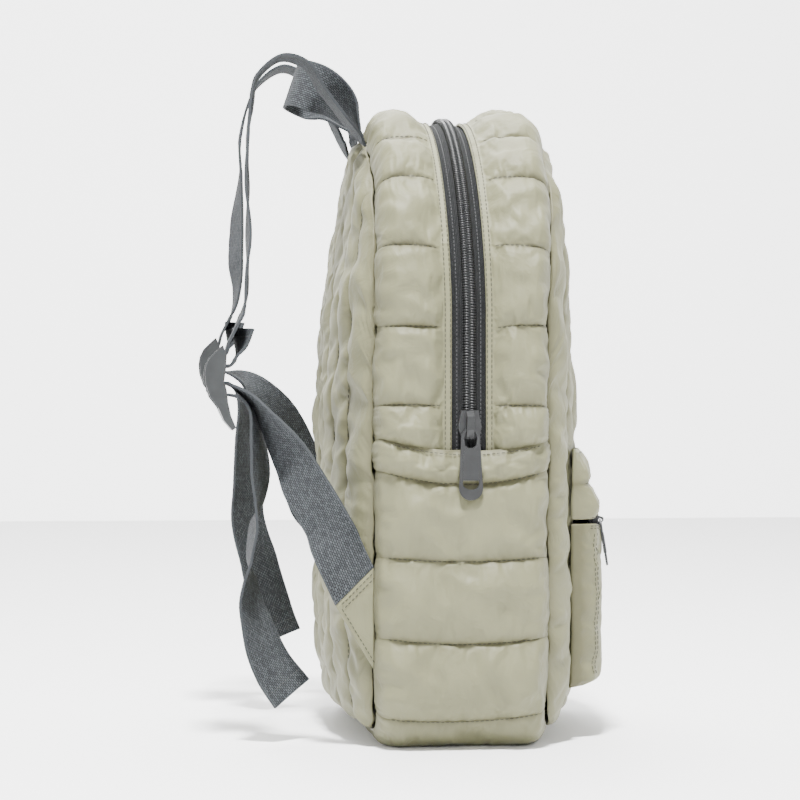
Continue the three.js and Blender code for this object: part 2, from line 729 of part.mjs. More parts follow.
function buckleGeometry() {
  const inner = webWidth / 2 + webGap;
  const outer = inner + buckleRail;
  return join([
    sideways(extruded(railShape(railOutline), buckleRail, inner)),
    sideways(extruded(railShape(railOutline), buckleRail, -outer)),
    sideways(extruded(railShape(lipOutline), 2 * inner + buckleRail, -inner - buckleRail / 2)),
    crossBar(2 * inner + buckleRail, upperBar),
    crossBar(2 * inner + buckleRail, lowerBar),
  ]);
}

// Lower webbing: from the tab in the side seam up to the buckle, round its lower bar, and down
// again as a hanging tail
const lowerTables = {
  left: [
    { across: 1.5, out: 0.271, up: -1.9458, wx: 0.43, wy: 0.77, wz: -0.47 },
    { across: 1.41, out: 0.402, up: -1.48, wx: 0.5, wy: 0.71, wz: -0.48 },
    { across: 1.31, out: 0.485, up: -1.1443, wx: 0.69, wy: 0.51, wz: -0.5 },
    { across: 1.19, out: 0.613, up: -0.7439, wx: 0.94, wy: 0.21, wz: -0.27 },
    { across: 1.07, out: 0.719, up: -0.4721, wx: 1, wy: 0.05, wz: -0.08 },
    { across: 1, out: 0.801, up: -0.3366, wx: 1, wy: 0, wz: 0 },
    { across: 1, out: 0.84, up: -0.2711, wx: 1, wy: 0, wz: 0 },
  ],
  right: [
    { across: 1.66, out: 0.23, up: -1.865, wx: -0.5, wy: -0.5, wz: 0.7 },
    { across: 1.56, out: 0.31, up: -1.249, wx: 0.1, wy: -0.65, wz: 0.7 },
    { across: 1.35, out: 0.43, up: -0.7485, wx: 0.5, wy: -0.6, wz: 0.6 },
    { across: 1.11, out: 0.608, up: -0.3658, wx: 0.8, wy: -0.4, wz: 0.43 },
    { across: 1.02, out: 0.73, up: -0.171, wx: 0.97, wy: -0.12, wz: 0.12 },
    { across: 1, out: 0.84, up: -0.1017, wx: 1, wy: 0, wz: 0 },
  ],
};
const tailTables = {
  left: [
    { across: 1, out: 0.83, up: -0.4136, wx: 1, wy: 0, wz: 0 },
    { across: 1.01, out: 0.765, up: -0.4598, wx: 1, wy: 0, wz: 0 },
    { across: 1.03, out: 0.7, up: -0.6022, wx: 0.98, wy: -0.1, wz: 0 },
    { across: 1.04, out: 0.668, up: -0.8902, wx: 0.96, wy: -0.28, wz: 0 },
    { across: 1.05, out: 0.65, up: -1.2952, wx: 0.92, wy: -0.4, wz: 0 },
    { across: 1.04, out: 0.655, up: -1.7141, wx: 0.98, wy: -0.2, wz: 0 },
    { across: 1.02, out: 0.69, up: -2.019, wx: 0.99, wy: 0.1, wz: 0 },
    { across: 1, out: 0.717, up: -2.384, wx: 0.99, wy: 0.05, wz: 0 },
    { across: 1, out: 0.711, up: -2.635, wx: 0.96, wy: -0.26, wz: 0 },
    { across: 1, out: 0.705, up: -2.8983, wx: 0.88, wy: -0.48, wz: 0 },
    { across: 1, out: 0.669, up: -3.1617, wx: 0.78, wy: -0.6, wz: 0.1 },
    { across: 1, out: 0.621, up: -3.462, wx: 0.68, wy: -0.7, wz: 0.2 },
    { across: 1, out: 0.555, up: -3.7261, wx: 0.56, wy: -0.78, wz: 0.26 },
    { across: 1, out: 0.46, up: -3.9902, wx: 0.46, wy: -0.84, wz: 0.28 },
  ],
  right: [
    { across: 1, out: 0.83, up: -0.2442, wx: 1, wy: 0, wz: 0 },
    { across: 1, out: 0.743, up: -0.3404, wx: 0.99, wy: -0.1, wz: 0 },
    { across: 1, out: 0.697, up: -0.5498, wx: 0.95, wy: -0.25, wz: 0 },
    { across: 0.98, out: 0.678, up: -1.1281, wx: 0.86, wy: -0.5, wz: 0 },
    { across: 0.97, out: 0.67, up: -1.5816, wx: 0.78, wy: -0.62, wz: 0 },
    { across: 0.97, out: 0.665, up: -2.0436, wx: 0.68, wy: -0.72, wz: 0 },
    { across: 0.97, out: 0.596, up: -2.568, wx: 0.6, wy: -0.77, wz: 0.12 },
    { across: 0.97, out: 0.508, up: -3.251, wx: 0.44, wy: -0.86, wz: 0.24 },
    { across: 0.97, out: 0.452, up: -3.5744, wx: 0.4, wy: -0.88, wz: 0.26 },
  ],
};

function webRows(table, side, point) {
  return table.map((row) => ({
    spot: point({ ...row, across: row.across * side }),
    wide: new THREE.Vector3(row.wx, row.wy, row.wz),
  }));
}

// The triangle tab and the webbing's end that is sewn into its slanted edge, in Y and Z. The
// webbing leaves the tab steeper than the tab's edge.
const slant = THREE.MathUtils.degToRad(tabSlant);
const steep = THREE.MathUtils.degToRad(webSlant);
const tabUpper = new THREE.Vector2(seamY + seamGap, tabTop);
const tabEdge = webWidth / Math.cos(steep - slant);
const tabSlope = new THREE.Vector2(Math.sin(slant), -Math.cos(slant));
const tabTip = tabUpper.clone().addScaledVector(tabSlope, tabEdge);
const tabShape = outline([[0, tabFoot], [0, tabTop], [tabTip.x - tabUpper.x, tabTip.y]]);

function turnedOut(vector, side, turn) {
  return vector.applyAxisAngle(new THREE.Vector3(0, 0, 1), -side * turn);
}

function tabRows(side, turn) {
  return [seamGap / Math.cos(steep - slant), 0.7 * webWidth].map((distance) => {
    const out = (tabTip.x - tabUpper.x) / 2 + distance * Math.cos(steep);
    const z = (tabUpper.y + tabTip.y) / 2 + distance * Math.sin(steep);
    const wide = turnedOut(new THREE.Vector3(0, -Math.sin(steep), Math.cos(steep)), side, turn);
    wide.multiplyScalar(side);
    const spot = turnedOut(new THREE.Vector3(0, out, z), side, turn);
    return { spot: spot.add(new THREE.Vector3(side * tabSpread, tabUpper.x, 0)), wide };
  });
}

for (const { name, side, lift, turn } of sides) {
  const buckleX = side * strapSpread;
  const turned = THREE.MathUtils.degToRad(turn);
  const buckle = addMesh("buckle_" + name, buckleGeometry(), plasticLook);
  buckle.position.set(buckleX, upperBar.y, upperBar.z + lift);
  const bar = lowerBar.clone().setZ(lowerBar.z + lift);
  const rows = [...tabRows(side, turned), ...webRows(lowerTables[name], side, strapPoint)];
  rows.push(...roundBar(buckleX, bar, [110, 60, 0, -60, -110], flatWide));
  rows.push(...webRows(tailTables[name], side, strapPoint));
  const cut = turnedOut(new THREE.Vector3(0, tabSlope.y, tabSlope.x), side, turned).multiplyScalar(side);
  addMesh("lower_strap_" + name, webbing(rows, 88, cut), webLook);
  const folded = sideways(extruded(tabShape, tabThickness, -tabThickness / 2));
  const tab = addMesh("tab_" + name, folded, clothLook);
  tab.position.set(side * tabSpread, tabUpper.x, 0);
  tab.rotation.z = -side * turned;
}

// Grab handle: a loop of webbing that stands up behind the top seam and crosses on its edge
const handleHalf = [
  { across: 1, out: 0.004, up: 0.951, wx: 1, wy: 0, wz: 0 },
  { across: 1, out: 0.02, up: 0.967, wx: 1, wy: 0, wz: 0 },
  { across: 1, out: 0.083, up: 0.99, wx: 0.92, wy: 0.3, wz: -0.25 },
  { across: 1.1, out: 0.183, up: 1.017, wx: 0.62, wy: 0.55, wz: -0.56 },
  { across: 1.05, out: 0.29, up: 1.033, wx: 0.2, wy: 0.42, wz: -0.87 },
  { across: 0.7, out: 0.385, up: 1.043, wx: 0, wy: 0.35, wz: -0.93 },
];
const handleRows = [
  ...handleHalf.map((row) => ({ ...row, across: -row.across })),
  { across: 0, out: 0.42, up: 1.045, wx: 0, wy: 0.32, wz: -0.95 },
  ...handleHalf.map((row) => ({ ...row, wx: -row.wx })).reverse(),
];
addMesh("grab_handle", webbing(webRows(handleRows, 1, handlePoint), 48), webLook);

// The pocket's zipper: a tape behind the gap between pocket and band, its coil, and a slider whose
// pull hangs over the pocket
const pocketTapeReach = 0.88;
const pocketTapeOut = pocketDepth * bandRows[0].out - pocketWall - 2 * seamGap;
const pocketCoilOut = pocketTapeOut + seamGap + pocketCoilThickness;
const zipColumns = pocketColumns.filter((across) => Math.abs(across) < pocketTapeReach);
const tapeColumns = [-pocketTapeReach, ...zipColumns, pocketTapeReach];

function pocketStrip(columns, height, front, thickness) {
  return slab(columns, [-height / 2, height / 2], (across, up, outer) => {
    const x = across * pocketHalf;
    const z = pocketZipHeight + up;
    return new THREE.Vector3(x, -(onPanel(x, z) + front - (outer ? 0 : thickness)), z);
  });
}
const pocketTape = pocketStrip(tapeColumns, pocketTapeHeight, pocketTapeOut, tapeThickness);
addMesh("pocket_tape", pocketTape, webLook);
const coilStart = (-pocketSliderPlace + pocketSliderLength / 2 + seamGap) / pocketHalf;
const coilColumns = [coilStart, ...tapeColumns.filter((across) => across > coilStart)];
const pocketCoil = pocketStrip(coilColumns, pocketCoilWidth, pocketCoilOut, pocketCoilThickness);
addMesh("pocket_coil", pocketCoil, webLook);

const pocketSliderGroup = new THREE.Group();
const sliderEnds = [-0.5, 0.5].map((end) => {
  return onPanel(pocketSliderPlace + end * pocketSliderLength, pocketZipHeight);
});
const pocketSlope = Math.atan2(sliderEnds[0] - sliderEnds[1], pocketSliderLength);
const pocketSliderOut = onPanel(pocketSliderPlace, pocketZipHeight) + pocketTapeOut + 2 * seamGap;
pocketSliderGroup.position.set(-pocketSliderPlace, -pocketSliderOut, pocketZipHeight);
pocketSliderGroup.rotation.z = Math.PI / 2 - pocketSlope;
root.add(pocketSliderGroup);
const smallCrossbar = pocketPullThickness / 2;
const smallBody = pocketSliderThickness + pocketCoilThickness;
const smallAxisOut = smallBody + smallCrossbar + axisClearance;
const smallPlate = new THREE.BoxGeometry(smallBody, pocketSliderLength, pocketGap - 2 * seamGap);
smallPlate.translate(-smallBody / 2, 0, 0);
const smallArch = sliderGeometry(
  pocketPullWidth, pocketGap - seamGap, smallBody, 0, smallAxisOut, smallCrossbar * Math.SQRT2 + eyeSlack / 2,
).arch;
addMesh("pocket_slider", join([smallPlate, smallArch]), metalLook, pocketSliderGroup);
const smallPullGroup = new THREE.Group();
smallPullGroup.position.set(-smallAxisOut, 0, 0);
smallPullGroup.rotation.y = THREE.MathUtils.degToRad(pocketPullLean);
pocketSliderGroup.add(smallPullGroup);
const smallPull = pullGeometry(pocketPullWidth, pocketPullLength, pocketPullThickness, smallCrossbar);
addMesh("pocket_pull", standUp(smallPull), metalLook, smallPullGroup);

export default root;
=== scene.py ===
import math

import bmesh
import bpy
import numpy as np
from mathutils import Matrix, Vector


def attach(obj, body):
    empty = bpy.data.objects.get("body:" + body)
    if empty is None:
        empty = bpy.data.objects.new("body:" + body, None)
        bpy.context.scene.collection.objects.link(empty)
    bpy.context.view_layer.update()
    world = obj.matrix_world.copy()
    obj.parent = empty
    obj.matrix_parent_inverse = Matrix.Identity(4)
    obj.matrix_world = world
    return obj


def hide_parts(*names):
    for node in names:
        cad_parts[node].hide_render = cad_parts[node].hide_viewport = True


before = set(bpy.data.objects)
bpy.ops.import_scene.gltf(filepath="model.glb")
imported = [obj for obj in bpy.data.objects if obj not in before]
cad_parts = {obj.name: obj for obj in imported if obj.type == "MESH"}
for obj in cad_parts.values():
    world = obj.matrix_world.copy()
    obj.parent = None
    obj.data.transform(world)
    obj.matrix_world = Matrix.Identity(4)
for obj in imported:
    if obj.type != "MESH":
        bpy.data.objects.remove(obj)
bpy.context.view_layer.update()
mm = 0.001  # every length below is in millimetres until a mesh is made
print("frame loaded")

bag = {
    "width": 250, "height": 385, "depth": 103, "sideBulge": 19, "baseBulge": 10, "corner": 35,
    "zipperEnd": 174, "backBulge": 24, "frontBulge": 27, "topForward": 7, "topBackward": -2.5,
    "seamGap": 0.3, "wall": 2, "quiltDip": 2.9, "zipperHalf": 10, "zipperShift": -3,
}
crown = bag["width"] / 2
archHeight = bag["height"] - crown
seamRadius = crown - bag["sideBulge"]
seamY = bag["depth"] / 2
archLength = 2 * (archHeight - bag["zipperEnd"]) + math.pi * crown


def overArch(z):
    return np.clip((z - archHeight) / seamRadius, 0, 1)


def seamPlace(side, z):
    return side * (seamY + (bag["topForward"] if side < 0 else bag["topBackward"]) * overArch(z))


def zipperPlace(z):
    # the zipper's middle leans to the front below the arch
    return bag["zipperShift"] - bag["zipperShift"] * overArch(z)


def smooth(low, high, x):
    t = np.clip((np.asarray(x, float) - low) / (high - low), 0, 1)
    return t * t * (3 - 2 * t)


def lattice(ix, iy, seed):
    h = np.sin(ix * 127.1 + iy * 311.7 + seed * 74.7) * 43758.5453
    return h - np.floor(h)


def softNoise(x, y, seed):
    # smooth noise from -1 to 1 over a plane
    ix, iy = np.floor(x), np.floor(y)
    fx, fy = x - ix, y - iy
    fx, fy = fx * fx * (3 - 2 * fx), fy * fy * (3 - 2 * fy)
    low = lattice(ix, iy, seed) * (1 - fx) + lattice(ix + 1, iy, seed) * fx
    high = lattice(ix, iy + 1, seed) * (1 - fx) + lattice(ix + 1, iy + 1, seed) * fx
    return 2 * (low * (1 - fy) + high * fy) - 1


def ridges(x, y, seed):
    # sharp-topped noise, like small folds in thin cloth
    return 1 - 2 * np.abs(softNoise(x, y, seed))


def linkObject(name, mesh):
    piece = bpy.data.objects.new(name, mesh)
    bpy.context.scene.collection.objects.link(piece)
    return piece


def gridPiece(name, points, uv=None, outFrom=None, marks=None):
    # a sheet over a grid of points in mm, with its own UV map in metres
    rows, columns = points.shape[:2]
    bm = bmesh.new()
    bmesh.ops.create_grid(bm, x_segments=rows - 1, y_segments=columns - 1, size=0.5)
    mesh = bpy.data.meshes.new(name)
    bm.to_mesh(mesh)
    bm.free()
    flat = np.zeros(len(mesh.vertices) * 3)
    mesh.vertices.foreach_get("co", flat)
    flat = flat.reshape(-1, 3)
    i = np.rint((flat[:, 0] + 0.5) * (rows - 1)).astype(int)
    j = np.rint((flat[:, 1] + 0.5) * (columns - 1)).astype(int)
    placed = points[i, j] * mm
    mesh.vertices.foreach_set("co", placed.ravel())
    mesh.update()
    if outFrom is not None:
        normals = np.zeros(len(mesh.polygons) * 3)
        centres = np.zeros(len(mesh.polygons) * 3)
        mesh.polygons.foreach_get("normal", normals)
        mesh.polygons.foreach_get("center", centres)
        away = centres.reshape(-1, 3) - np.array(outFrom) * mm
        if (normals.reshape(-1, 3) * away).sum() < 0:
            mesh.flip_normals()
    if uv is not None:
        corner = np.zeros(len(mesh.loops), int)
        mesh.loops.foreach_get("vertex_index", corner)
        layer = mesh.uv_layers.new(name="UVMap")
        layer.data.foreach_set("uv", (uv[i, j] * mm)[corner].ravel())
    for key, values in (marks or {}).items():
        attribute = mesh.attributes.new(key, "FLOAT", "POINT")
        attribute.data.foreach_set("value", values[i, j].astype(np.float32))
    piece = linkObject(name, mesh)
    for face in mesh.polygons:
        face.use_smooth = True
    return piece


def addModifier(piece, kind, name, **settings):
    modifier = piece.modifiers.new(name, kind)
    for key, value in settings.items():
        setattr(modifier, key, value)
    return modifier


def subdivided(piece):
    addModifier(piece, "SUBSURF", "smooth", levels=1, render_levels=1)


def walled(piece, thickness, offset=-1):
    addModifier(piece, "SOLIDIFY", "wall", thickness=thickness * mm, offset=offset, use_quality_normals=True)


cloth = {
    "mass": 0.02, "tension": 12.0, "shear": 4.0, "bending": 0.02, "growth": 0.035, "pressure": 4.0,
    "frames": 20, "most": 2.4, "lowest": 0.3,
}


def puffed(piece):
    # lets a sheet swell and wrinkle between its held seams, then keeps that shape
    mesh = piece.data
    size = len(mesh.vertices)
    hold = np.zeros(size, np.float32)
    mesh.attributes["hold"].data.foreach_get("value", hold)
    group = piece.vertex_groups.new(name="hold")
    group.add([int(v) for v in np.nonzero(hold > 0.5)[0]], 1.0, "REPLACE")
    modifier = piece.modifiers.new("cloth", "CLOTH")
    settings = modifier.settings
    settings.quality = 5
    settings.mass = cloth["mass"]
    settings.tension_stiffness = settings.compression_stiffness = cloth["tension"]
    settings.shear_stiffness = cloth["shear"]
    settings.bending_stiffness = cloth["bending"]
    settings.vertex_group_mass = "hold"
    settings.use_pressure = True
    settings.uniform_pressure_force = cloth["pressure"]
    settings.shrink_min = -cloth["growth"]
    settings.effector_weights.gravity = 0
    modifier.collision_settings.use_collision = False
    modifier.point_cache.frame_start = 1
    modifier.point_cache.frame_end = cloth["frames"]
    scene = bpy.context.scene
    for frameNumber in range(1, cloth["frames"] + 1):
        scene.frame_set(frameNumber)
    settled = piece.evaluated_get(bpy.context.evaluated_depsgraph_get()).data
    before, after = np.zeros(size * 3), np.zeros(size * 3)
    mesh.vertices.foreach_get("co", before)
    settled.vertices.foreach_get("co", after)
    before, after = before.reshape(-1, 3), after.reshape(-1, 3)
    move = np.nan_to_num(after - before)
    length = np.linalg.norm(move, axis=1, keepdims=True)
    limit = cloth["most"] * mm
    capped = limit * np.tanh(length / limit)
    move *= capped / np.maximum(length, 1e-9)
    piece.modifiers.remove(modifier)
    placed = before + move
    placed[:, 2] = np.maximum(placed[:, 2], cloth["lowest"] * mm)
    mesh.vertices.foreach_set("co", placed.ravel())
    mesh.update()
    scene.frame_set(1)
    moved = [round(float(far / mm), 2) for far in (capped.mean(), length.max())]
    print(piece.name, "settled, mm moved", *moved)


def flatLength(points, axis):
    # length along the grid, for a UV map that is true to size
    steps = np.linalg.norm(np.diff(points, axis=axis), axis=2)
    start = np.zeros_like(np.take(steps, [0], axis=axis))
    return np.concatenate([start, np.cumsum(steps, axis=axis)], axis=axis)


def trueUv(points):
    along = flatLength(points, 0).mean(axis=1, keepdims=True) + 0 * points[:, :, 0]
    across = flatLength(points, 1)
    across = across - across.max(axis=1, keepdims=True) / 2
    return np.stack([along, across], axis=2)


def gridNormals(points, outFrom):
    along = np.gradient(points, axis=0)
    across = np.gradient(points, axis=1)
    n = np.cross(along, across)
    n /= np.maximum(np.linalg.norm(n, axis=2, keepdims=True), 1e-9)
    away = points - np.array(outFrom)
    return n * (1 if (n * away).sum() > 0 else -1)


def seamWave(side, x, z):
    # both edges of a panel seam wander together, as sewn by hand
    return side * (1.2 * softNoise(z / 15 + 4 * side, x / 15, 5) + 0.7 * softNoise(z / 6, x / 6 + side, 6)
                   + 0.35 * np.sin(z * 1.9 + 3 * softNoise(z / 9, x / 9, 8)))


seamSag = {"depth": 7.5, "half": 51, "height": 168, "reach": 26}


def seamLift(y, z):
    # the rows round the zipper's lower end hang lower in the middle of the side
    beside = np.clip(np.abs(y - bag["zipperShift"]) / seamSag["half"], 0, 1)
    return seamSag["depth"] * beside ** 2 * np.exp(-((z - seamSag["height"]) / seamSag["reach"]) ** 2)


bagMiddle = (0, 0, 190)
threads = {}


def sewLine(group, path, normals, pitch, length, lift=0.25):
    # remembers a row of stitches along a path in mm
    path, normals = np.asarray(path, float), np.asarray(normals, float)
    steps = np.linalg.norm(np.diff(path, axis=0), axis=1)
    reach = np.concatenate([[0], np.cumsum(steps)])

    def at(place, rows):
        return np.array([np.interp(place, reach, rows[:, k]) for k in range(3)])

    for place in np.arange(pitch / 2, reach[-1] - length / 2, pitch):
        along = at(place + 0.8, path) - at(place - 0.8, path)
        size = np.linalg.norm(along)
        if size < 1e-6:
            continue
        along /= size
        n = at(place, normals)
        n -= along * n.dot(along)
        n /= max(np.linalg.norm(n), 1e-9)
        threads.setdefault(group, []).append((at(place, path) + n * lift, along, n, length / 2))


def rodPiece(name, rods, radius):
    # many short rounded rods as one mesh; each rod is a list of points and of shares of the radius
    curve = bpy.data.curves.new(name, "CURVE")
    curve.dimensions = "3D"
    curve.bevel_depth = radius * mm
    curve.bevel_resolution = 1
    curve.use_fill_caps = True
    for points, radii in rods:
        spline = curve.splines.new("POLY")
        spline.points.add(len(points) - 1)
        spline.points.foreach_set("co", [c for p in points for c in (p[0] * mm, p[1] * mm, p[2] * mm, 1)])
        spline.points.foreach_set("radius", list(radii))
    line = linkObject(name + "_line", curve)
    bpy.context.view_layer.update()
    mesh = bpy.data.meshes.new_from_object(line.evaluated_get(bpy.context.evaluated_depsgraph_get()))
    bpy.data.objects.remove(line)
    mesh.name = name
    for face in mesh.polygons:
        face.use_smooth = True
    return linkObject(name, mesh)


def makeThreads(name, group, material):
    rods = []
    for spot, along, n, half in threads.get(group, []):
        ends = [spot - along * half - n * 0.3, spot - along * half * 0.6, spot + along * half * 0.6,
                spot + along * half - n * 0.3]
        rods.append((ends, (0.35, 1, 1, 0.35)))
    dress(rodPiece(name, rods, 0.28), material)


# Materials
def newMaterial(name):
    material = bpy.data.materials.new(name)
    material.use_nodes = True
    nodes = material.node_tree.nodes
    shader = nodes["Principled BSDF"]
    return material, nodes, material.node_tree.links, shader


def addNode(nodes, kind, inputs=None, **settings):
    node = nodes.new(kind)
    for key, value in settings.items():
        setattr(node, key, value)
    for key, value in (inputs or {}).items():
        node.inputs[key].default_value = value
    return node


def addRamp(nodes, stops):
    ramp = nodes.new("ShaderNodeValToRGB")
    elements = ramp.color_ramp.elements
    while len(elements) < len(stops):
        elements.new(0.5)
    for element, (place, colour) in zip(elements, stops):
        element.position = place
        element.color = (*colour, 1)
    return ramp


def tinted(colour, factor):
    return tuple(min(c * factor, 1) for c in colour)


def clothMaterial(name, look):
    # thin woven nylon: soft mottling, painted shade in the creases and at the seams, fine weave and small
    # crumples in the bump
    material, nodes, links, shader = newMaterial(name)
    place = nodes.new("ShaderNodeTexCoord")
    mottle = addNode(nodes, "ShaderNodeTexNoise", {"Scale": 55.0, "Detail": 3.0})
    links.new(place.outputs["Object"], mottle.inputs["Vector"])
    shades = addRamp(nodes, [(0.3, tinted(look["colour"], 0.93)), (0.72, tinted(look["colour"], 1.05))])
    links.new(mottle.outputs["Fac"], shades.inputs["Fac"])
    # painted shade: the crease mark multiplies the colour darker along quilt lines and beside seams
    crease_shade = addNode(nodes, "ShaderNodeAttribute", attribute_name="crease_shade")
    paintShade = addNode(nodes, "ShaderNodeMix", data_type="RGBA", blend_type="MULTIPLY")
    links.new(crease_shade.outputs["Fac"], paintShade.inputs["Factor"])
    links.new(shades.outputs["Color"], paintShade.inputs["A"])
    paintShade.inputs["B"].default_value = (*look["crease_shade"], 1)
    links.new(paintShade.outputs["Result"], shader.inputs["Base Color"])
    weave = addNode(nodes, "ShaderNodeMath", operation="ADD")
    for k, direction in enumerate(("Y", "Z")):
        wave = addNode(nodes, "ShaderNodeTexWave", {"Scale": look["weave"], "Distortion": 0.6, "Detail": 0.0},
                       bands_direction=direction)
        links.new(place.outputs["Object"], wave.inputs["Vector"])
        links.new(wave.outputs["Fac"], weave.inputs[k])
    fine = addNode(nodes, "ShaderNodeBump", {"Strength": 0.12, "Distance": 0.00012})
    links.new(weave.outputs["Value"], fine.inputs["Height"])
    crumple = addNode(nodes, "ShaderNodeTexNoise", {
        "Scale": 48.0, "Detail": 4.0, "Roughness": 0.5, "Distortion": 0.9})
    links.new(place.outputs["Object"], crumple.inputs["Vector"])
    rough = addNode(nodes, "ShaderNodeBump", {"Strength": look["crumple"], "Distance": 0.0022})
    links.new(crumple.outputs["Fac"], rough.inputs["Height"])
    links.new(fine.outputs["Normal"], rough.inputs["Normal"])
    links.new(rough.outputs["Normal"], shader.inputs["Normal"])
    shader.inputs["Roughness"].default_value = look["roughness"]
    shader.inputs["Sheen Weight"].default_value = 0.04
    shader.inputs["Sheen Roughness"].default_value = 0.45
    shader.inputs["Specular IOR Level"].default_value = 0.35
    return material


def wovenMaterial(name, look):
    # webbing and tape: rows of short threads on the piece's own UV map, with a painted highlight that makes
    # the selvedges paler
    material, nodes, links, shader = newMaterial(name)
    place = nodes.new("ShaderNodeUVMap")
    threadsAcross = addNode(nodes, "ShaderNodeTexBrick", {
        "Scale": 500.0, "Mortar Size": look["gap"], "Mortar Smooth": 0.8, "Bias": 0.0,
        "Brick Width": look["long"] / 2, "Row Height": look["row"] / 2,
    })
    threadsAcross.inputs["Color1"].default_value = (*tinted(look["colour"], 2.3), 1)
    threadsAcross.inputs["Color2"].default_value = (*tinted(look["colour"], 1.2), 1)
    threadsAcross.inputs["Mortar"].default_value = (*tinted(look["colour"], 0.12), 1)
    links.new(place.outputs["UV"], threadsAcross.inputs["Vector"])
    fuzz = addNode(nodes, "ShaderNodeTexNoise", {"Scale": 1400.0, "Detail": 2.0})
    object3d = nodes.new("ShaderNodeTexCoord")
    links.new(object3d.outputs["Object"], fuzz.inputs["Vector"])
    mixed = addNode(nodes, "ShaderNodeMix", data_type="RGBA", blend_type="OVERLAY")
    mixed.inputs["Factor"].default_value = 0.25
    links.new(threadsAcross.outputs["Color"], mixed.inputs["A"])
    links.new(fuzz.outputs["Fac"], mixed.inputs["B"])
    split = nodes.new("ShaderNodeSeparateXYZ")
    links.new(place.outputs["UV"], split.inputs["Vector"])
    distance = addNode(nodes, "ShaderNodeMath", operation="ABSOLUTE")
    links.new(split.outputs["Y"], distance.inputs[0])
    # painted highlight: the colour is lightened towards both long edges of the band
    edge = addNode(nodes, "ShaderNodeMapRange", {
        "From Min": (look["half"] - look["selvedgeHighlight"]) * mm, "From Max": look["half"] * mm, "To Max": 0.55})
    links.new(distance.outputs["Value"], edge.inputs["Value"])
    selvedgeHighlight = addNode(nodes, "ShaderNodeMix", data_type="RGBA")
    selvedgeHighlight.inputs["B"].default_value = (*tinted(look["colour"], look["edge"]), 1)
    links.new(edge.outputs["Result"], selvedgeHighlight.inputs["Factor"])
    links.new(mixed.outputs["Result"], selvedgeHighlight.inputs["A"])
    links.new(selvedgeHighlight.outputs["Result"], shader.inputs["Base Color"])
    bump = addNode(nodes, "ShaderNodeBump", {"Strength": 0.7, "Distance": 0.0004})
    bump.invert = True
    links.new(threadsAcross.outputs["Fac"], bump.inputs["Height"])
    links.new(bump.outputs["Normal"], shader.inputs["Normal"])
    shader.inputs["Roughness"].default_value = 0.85
    shader.inputs["Specular IOR Level"].default_value = 0.2
    return material


def hardMaterial(name, look):
    # moulded plastic or coated metal: faint cloudiness, tiny scuffs
    material, nodes, links, shader = newMaterial(name)
    place = nodes.new("ShaderNodeTexCoord")
    cloud = addNode(nodes, "ShaderNodeTexNoise", {"Scale": 160.0, "Detail": 4.0})
    links.new(place.outputs["Object"], cloud.inputs["Vector"])
    shades = addRamp(nodes, [(0.3, tinted(look["colour"], 0.86)), (0.75, tinted(look["colour"], 1.12))])
    links.new(cloud.outputs["Fac"], shades.inputs["Fac"])
    links.new(shades.outputs["Color"], shader.inputs["Base Color"])
    scuff = addNode(nodes, "ShaderNodeTexNoise", {"Scale": 900.0, "Detail": 2.0})
    links.new(place.outputs["Object"], scuff.inputs["Vector"])
    shine = addNode(nodes, "ShaderNodeMapRange", {
        "To Min": look["shine"] - 0.06, "To Max": look["shine"] + 0.1})
    links.new(scuff.outputs["Fac"], shine.inputs["Value"])
    links.new(shine.outputs["Result"], shader.inputs["Roughness"])
    bump = addNode(nodes, "ShaderNodeBump", {"Strength": look["grain"], "Distance": 0.0002})
    links.new(scuff.outputs["Fac"], bump.inputs["Height"])
    links.new(bump.outputs["Normal"], shader.inputs["Normal"])
    shader.inputs["Metallic"].default_value = look["metal"]
    shader.inputs["Specular IOR Level"].default_value = 0.4
    return material


# the crease colour is the tint of the painted shade in the creases and at the seams
quiltCloth = clothMaterial("quiltCloth", {
    "colour": (0.16, 0.158, 0.09), "crease_shade": (0.55, 0.53, 0.47), "weave": 900.0, "crumple": 0.8,
    "roughness": 0.57})
# edge is how much the painted edge highlight lightens the colour, selvedge the width of that band in mm
webCloth = wovenMaterial("webCloth", {
    "colour": (0.031, 0.034, 0.037), "long": 2.0, "row": 1.25, "gap": 0.125, "half": 15, "selvedgeHighlight": 1.6,
    "edge": 1.9})
tapeCloth = wovenMaterial("tapeCloth", {
    "colour": (0.009, 0.0096, 0.01), "long": 1.4, "row": 0.9, "gap": 0.1, "half": 10, "selvedgeHighlight": 0.4,
    "edge": 1.1})
sageThread = hardMaterial("sageThread", {
    "colour": (0.045, 0.043, 0.028), "shine": 0.6, "grain": 0.2, "metal": 0.0})
webThread = hardMaterial("webThread", {
    "colour": (0.05, 0.052, 0.054), "shine": 0.6, "grain": 0.2, "metal": 0.0})
coilPlastic = hardMaterial("coilPlastic", {
    "colour": (0.01, 0.0105, 0.011), "shine": 0.32, "grain": 0.1, "metal": 0.0})
greyPlastic = hardMaterial("greyPlastic", {
    "colour": (0.024, 0.026, 0.027), "shine": 0.36, "grain": 0.08, "metal": 0.0})
gunmetal = hardMaterial("gunmetal", {
    "colour": (0.04, 0.041, 0.042), "shine": 0.3, "grain": 0.04, "metal": 0.6})


def dress(piece, material, replaced=()):
    piece.data.materials.clear()
    piece.data.materials.append(material)
    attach(piece, "root")
    if replaced:
        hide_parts(*replaced)


print("materials made")


# Side strips
def archStations(share):
    straight = archHeight - bag["zipperEnd"]
    along = np.asarray(share, float) * archLength
    angle = np.clip((along - straight) / crown, 0, math.pi)
    outX, outZ = -np.cos(angle), np.sin(angle)
    below = np.minimum(along - straight, 0) + np.minimum(archLength - straight - along, 0)
    seam = np.stack([seamRadius * outX, archHeight + seamRadius * outZ + below], -1)
    top = np.stack([crown * outX, archHeight + crown * outZ + below], -1)
    return seam, top, np.stack([outX, outZ], -1)


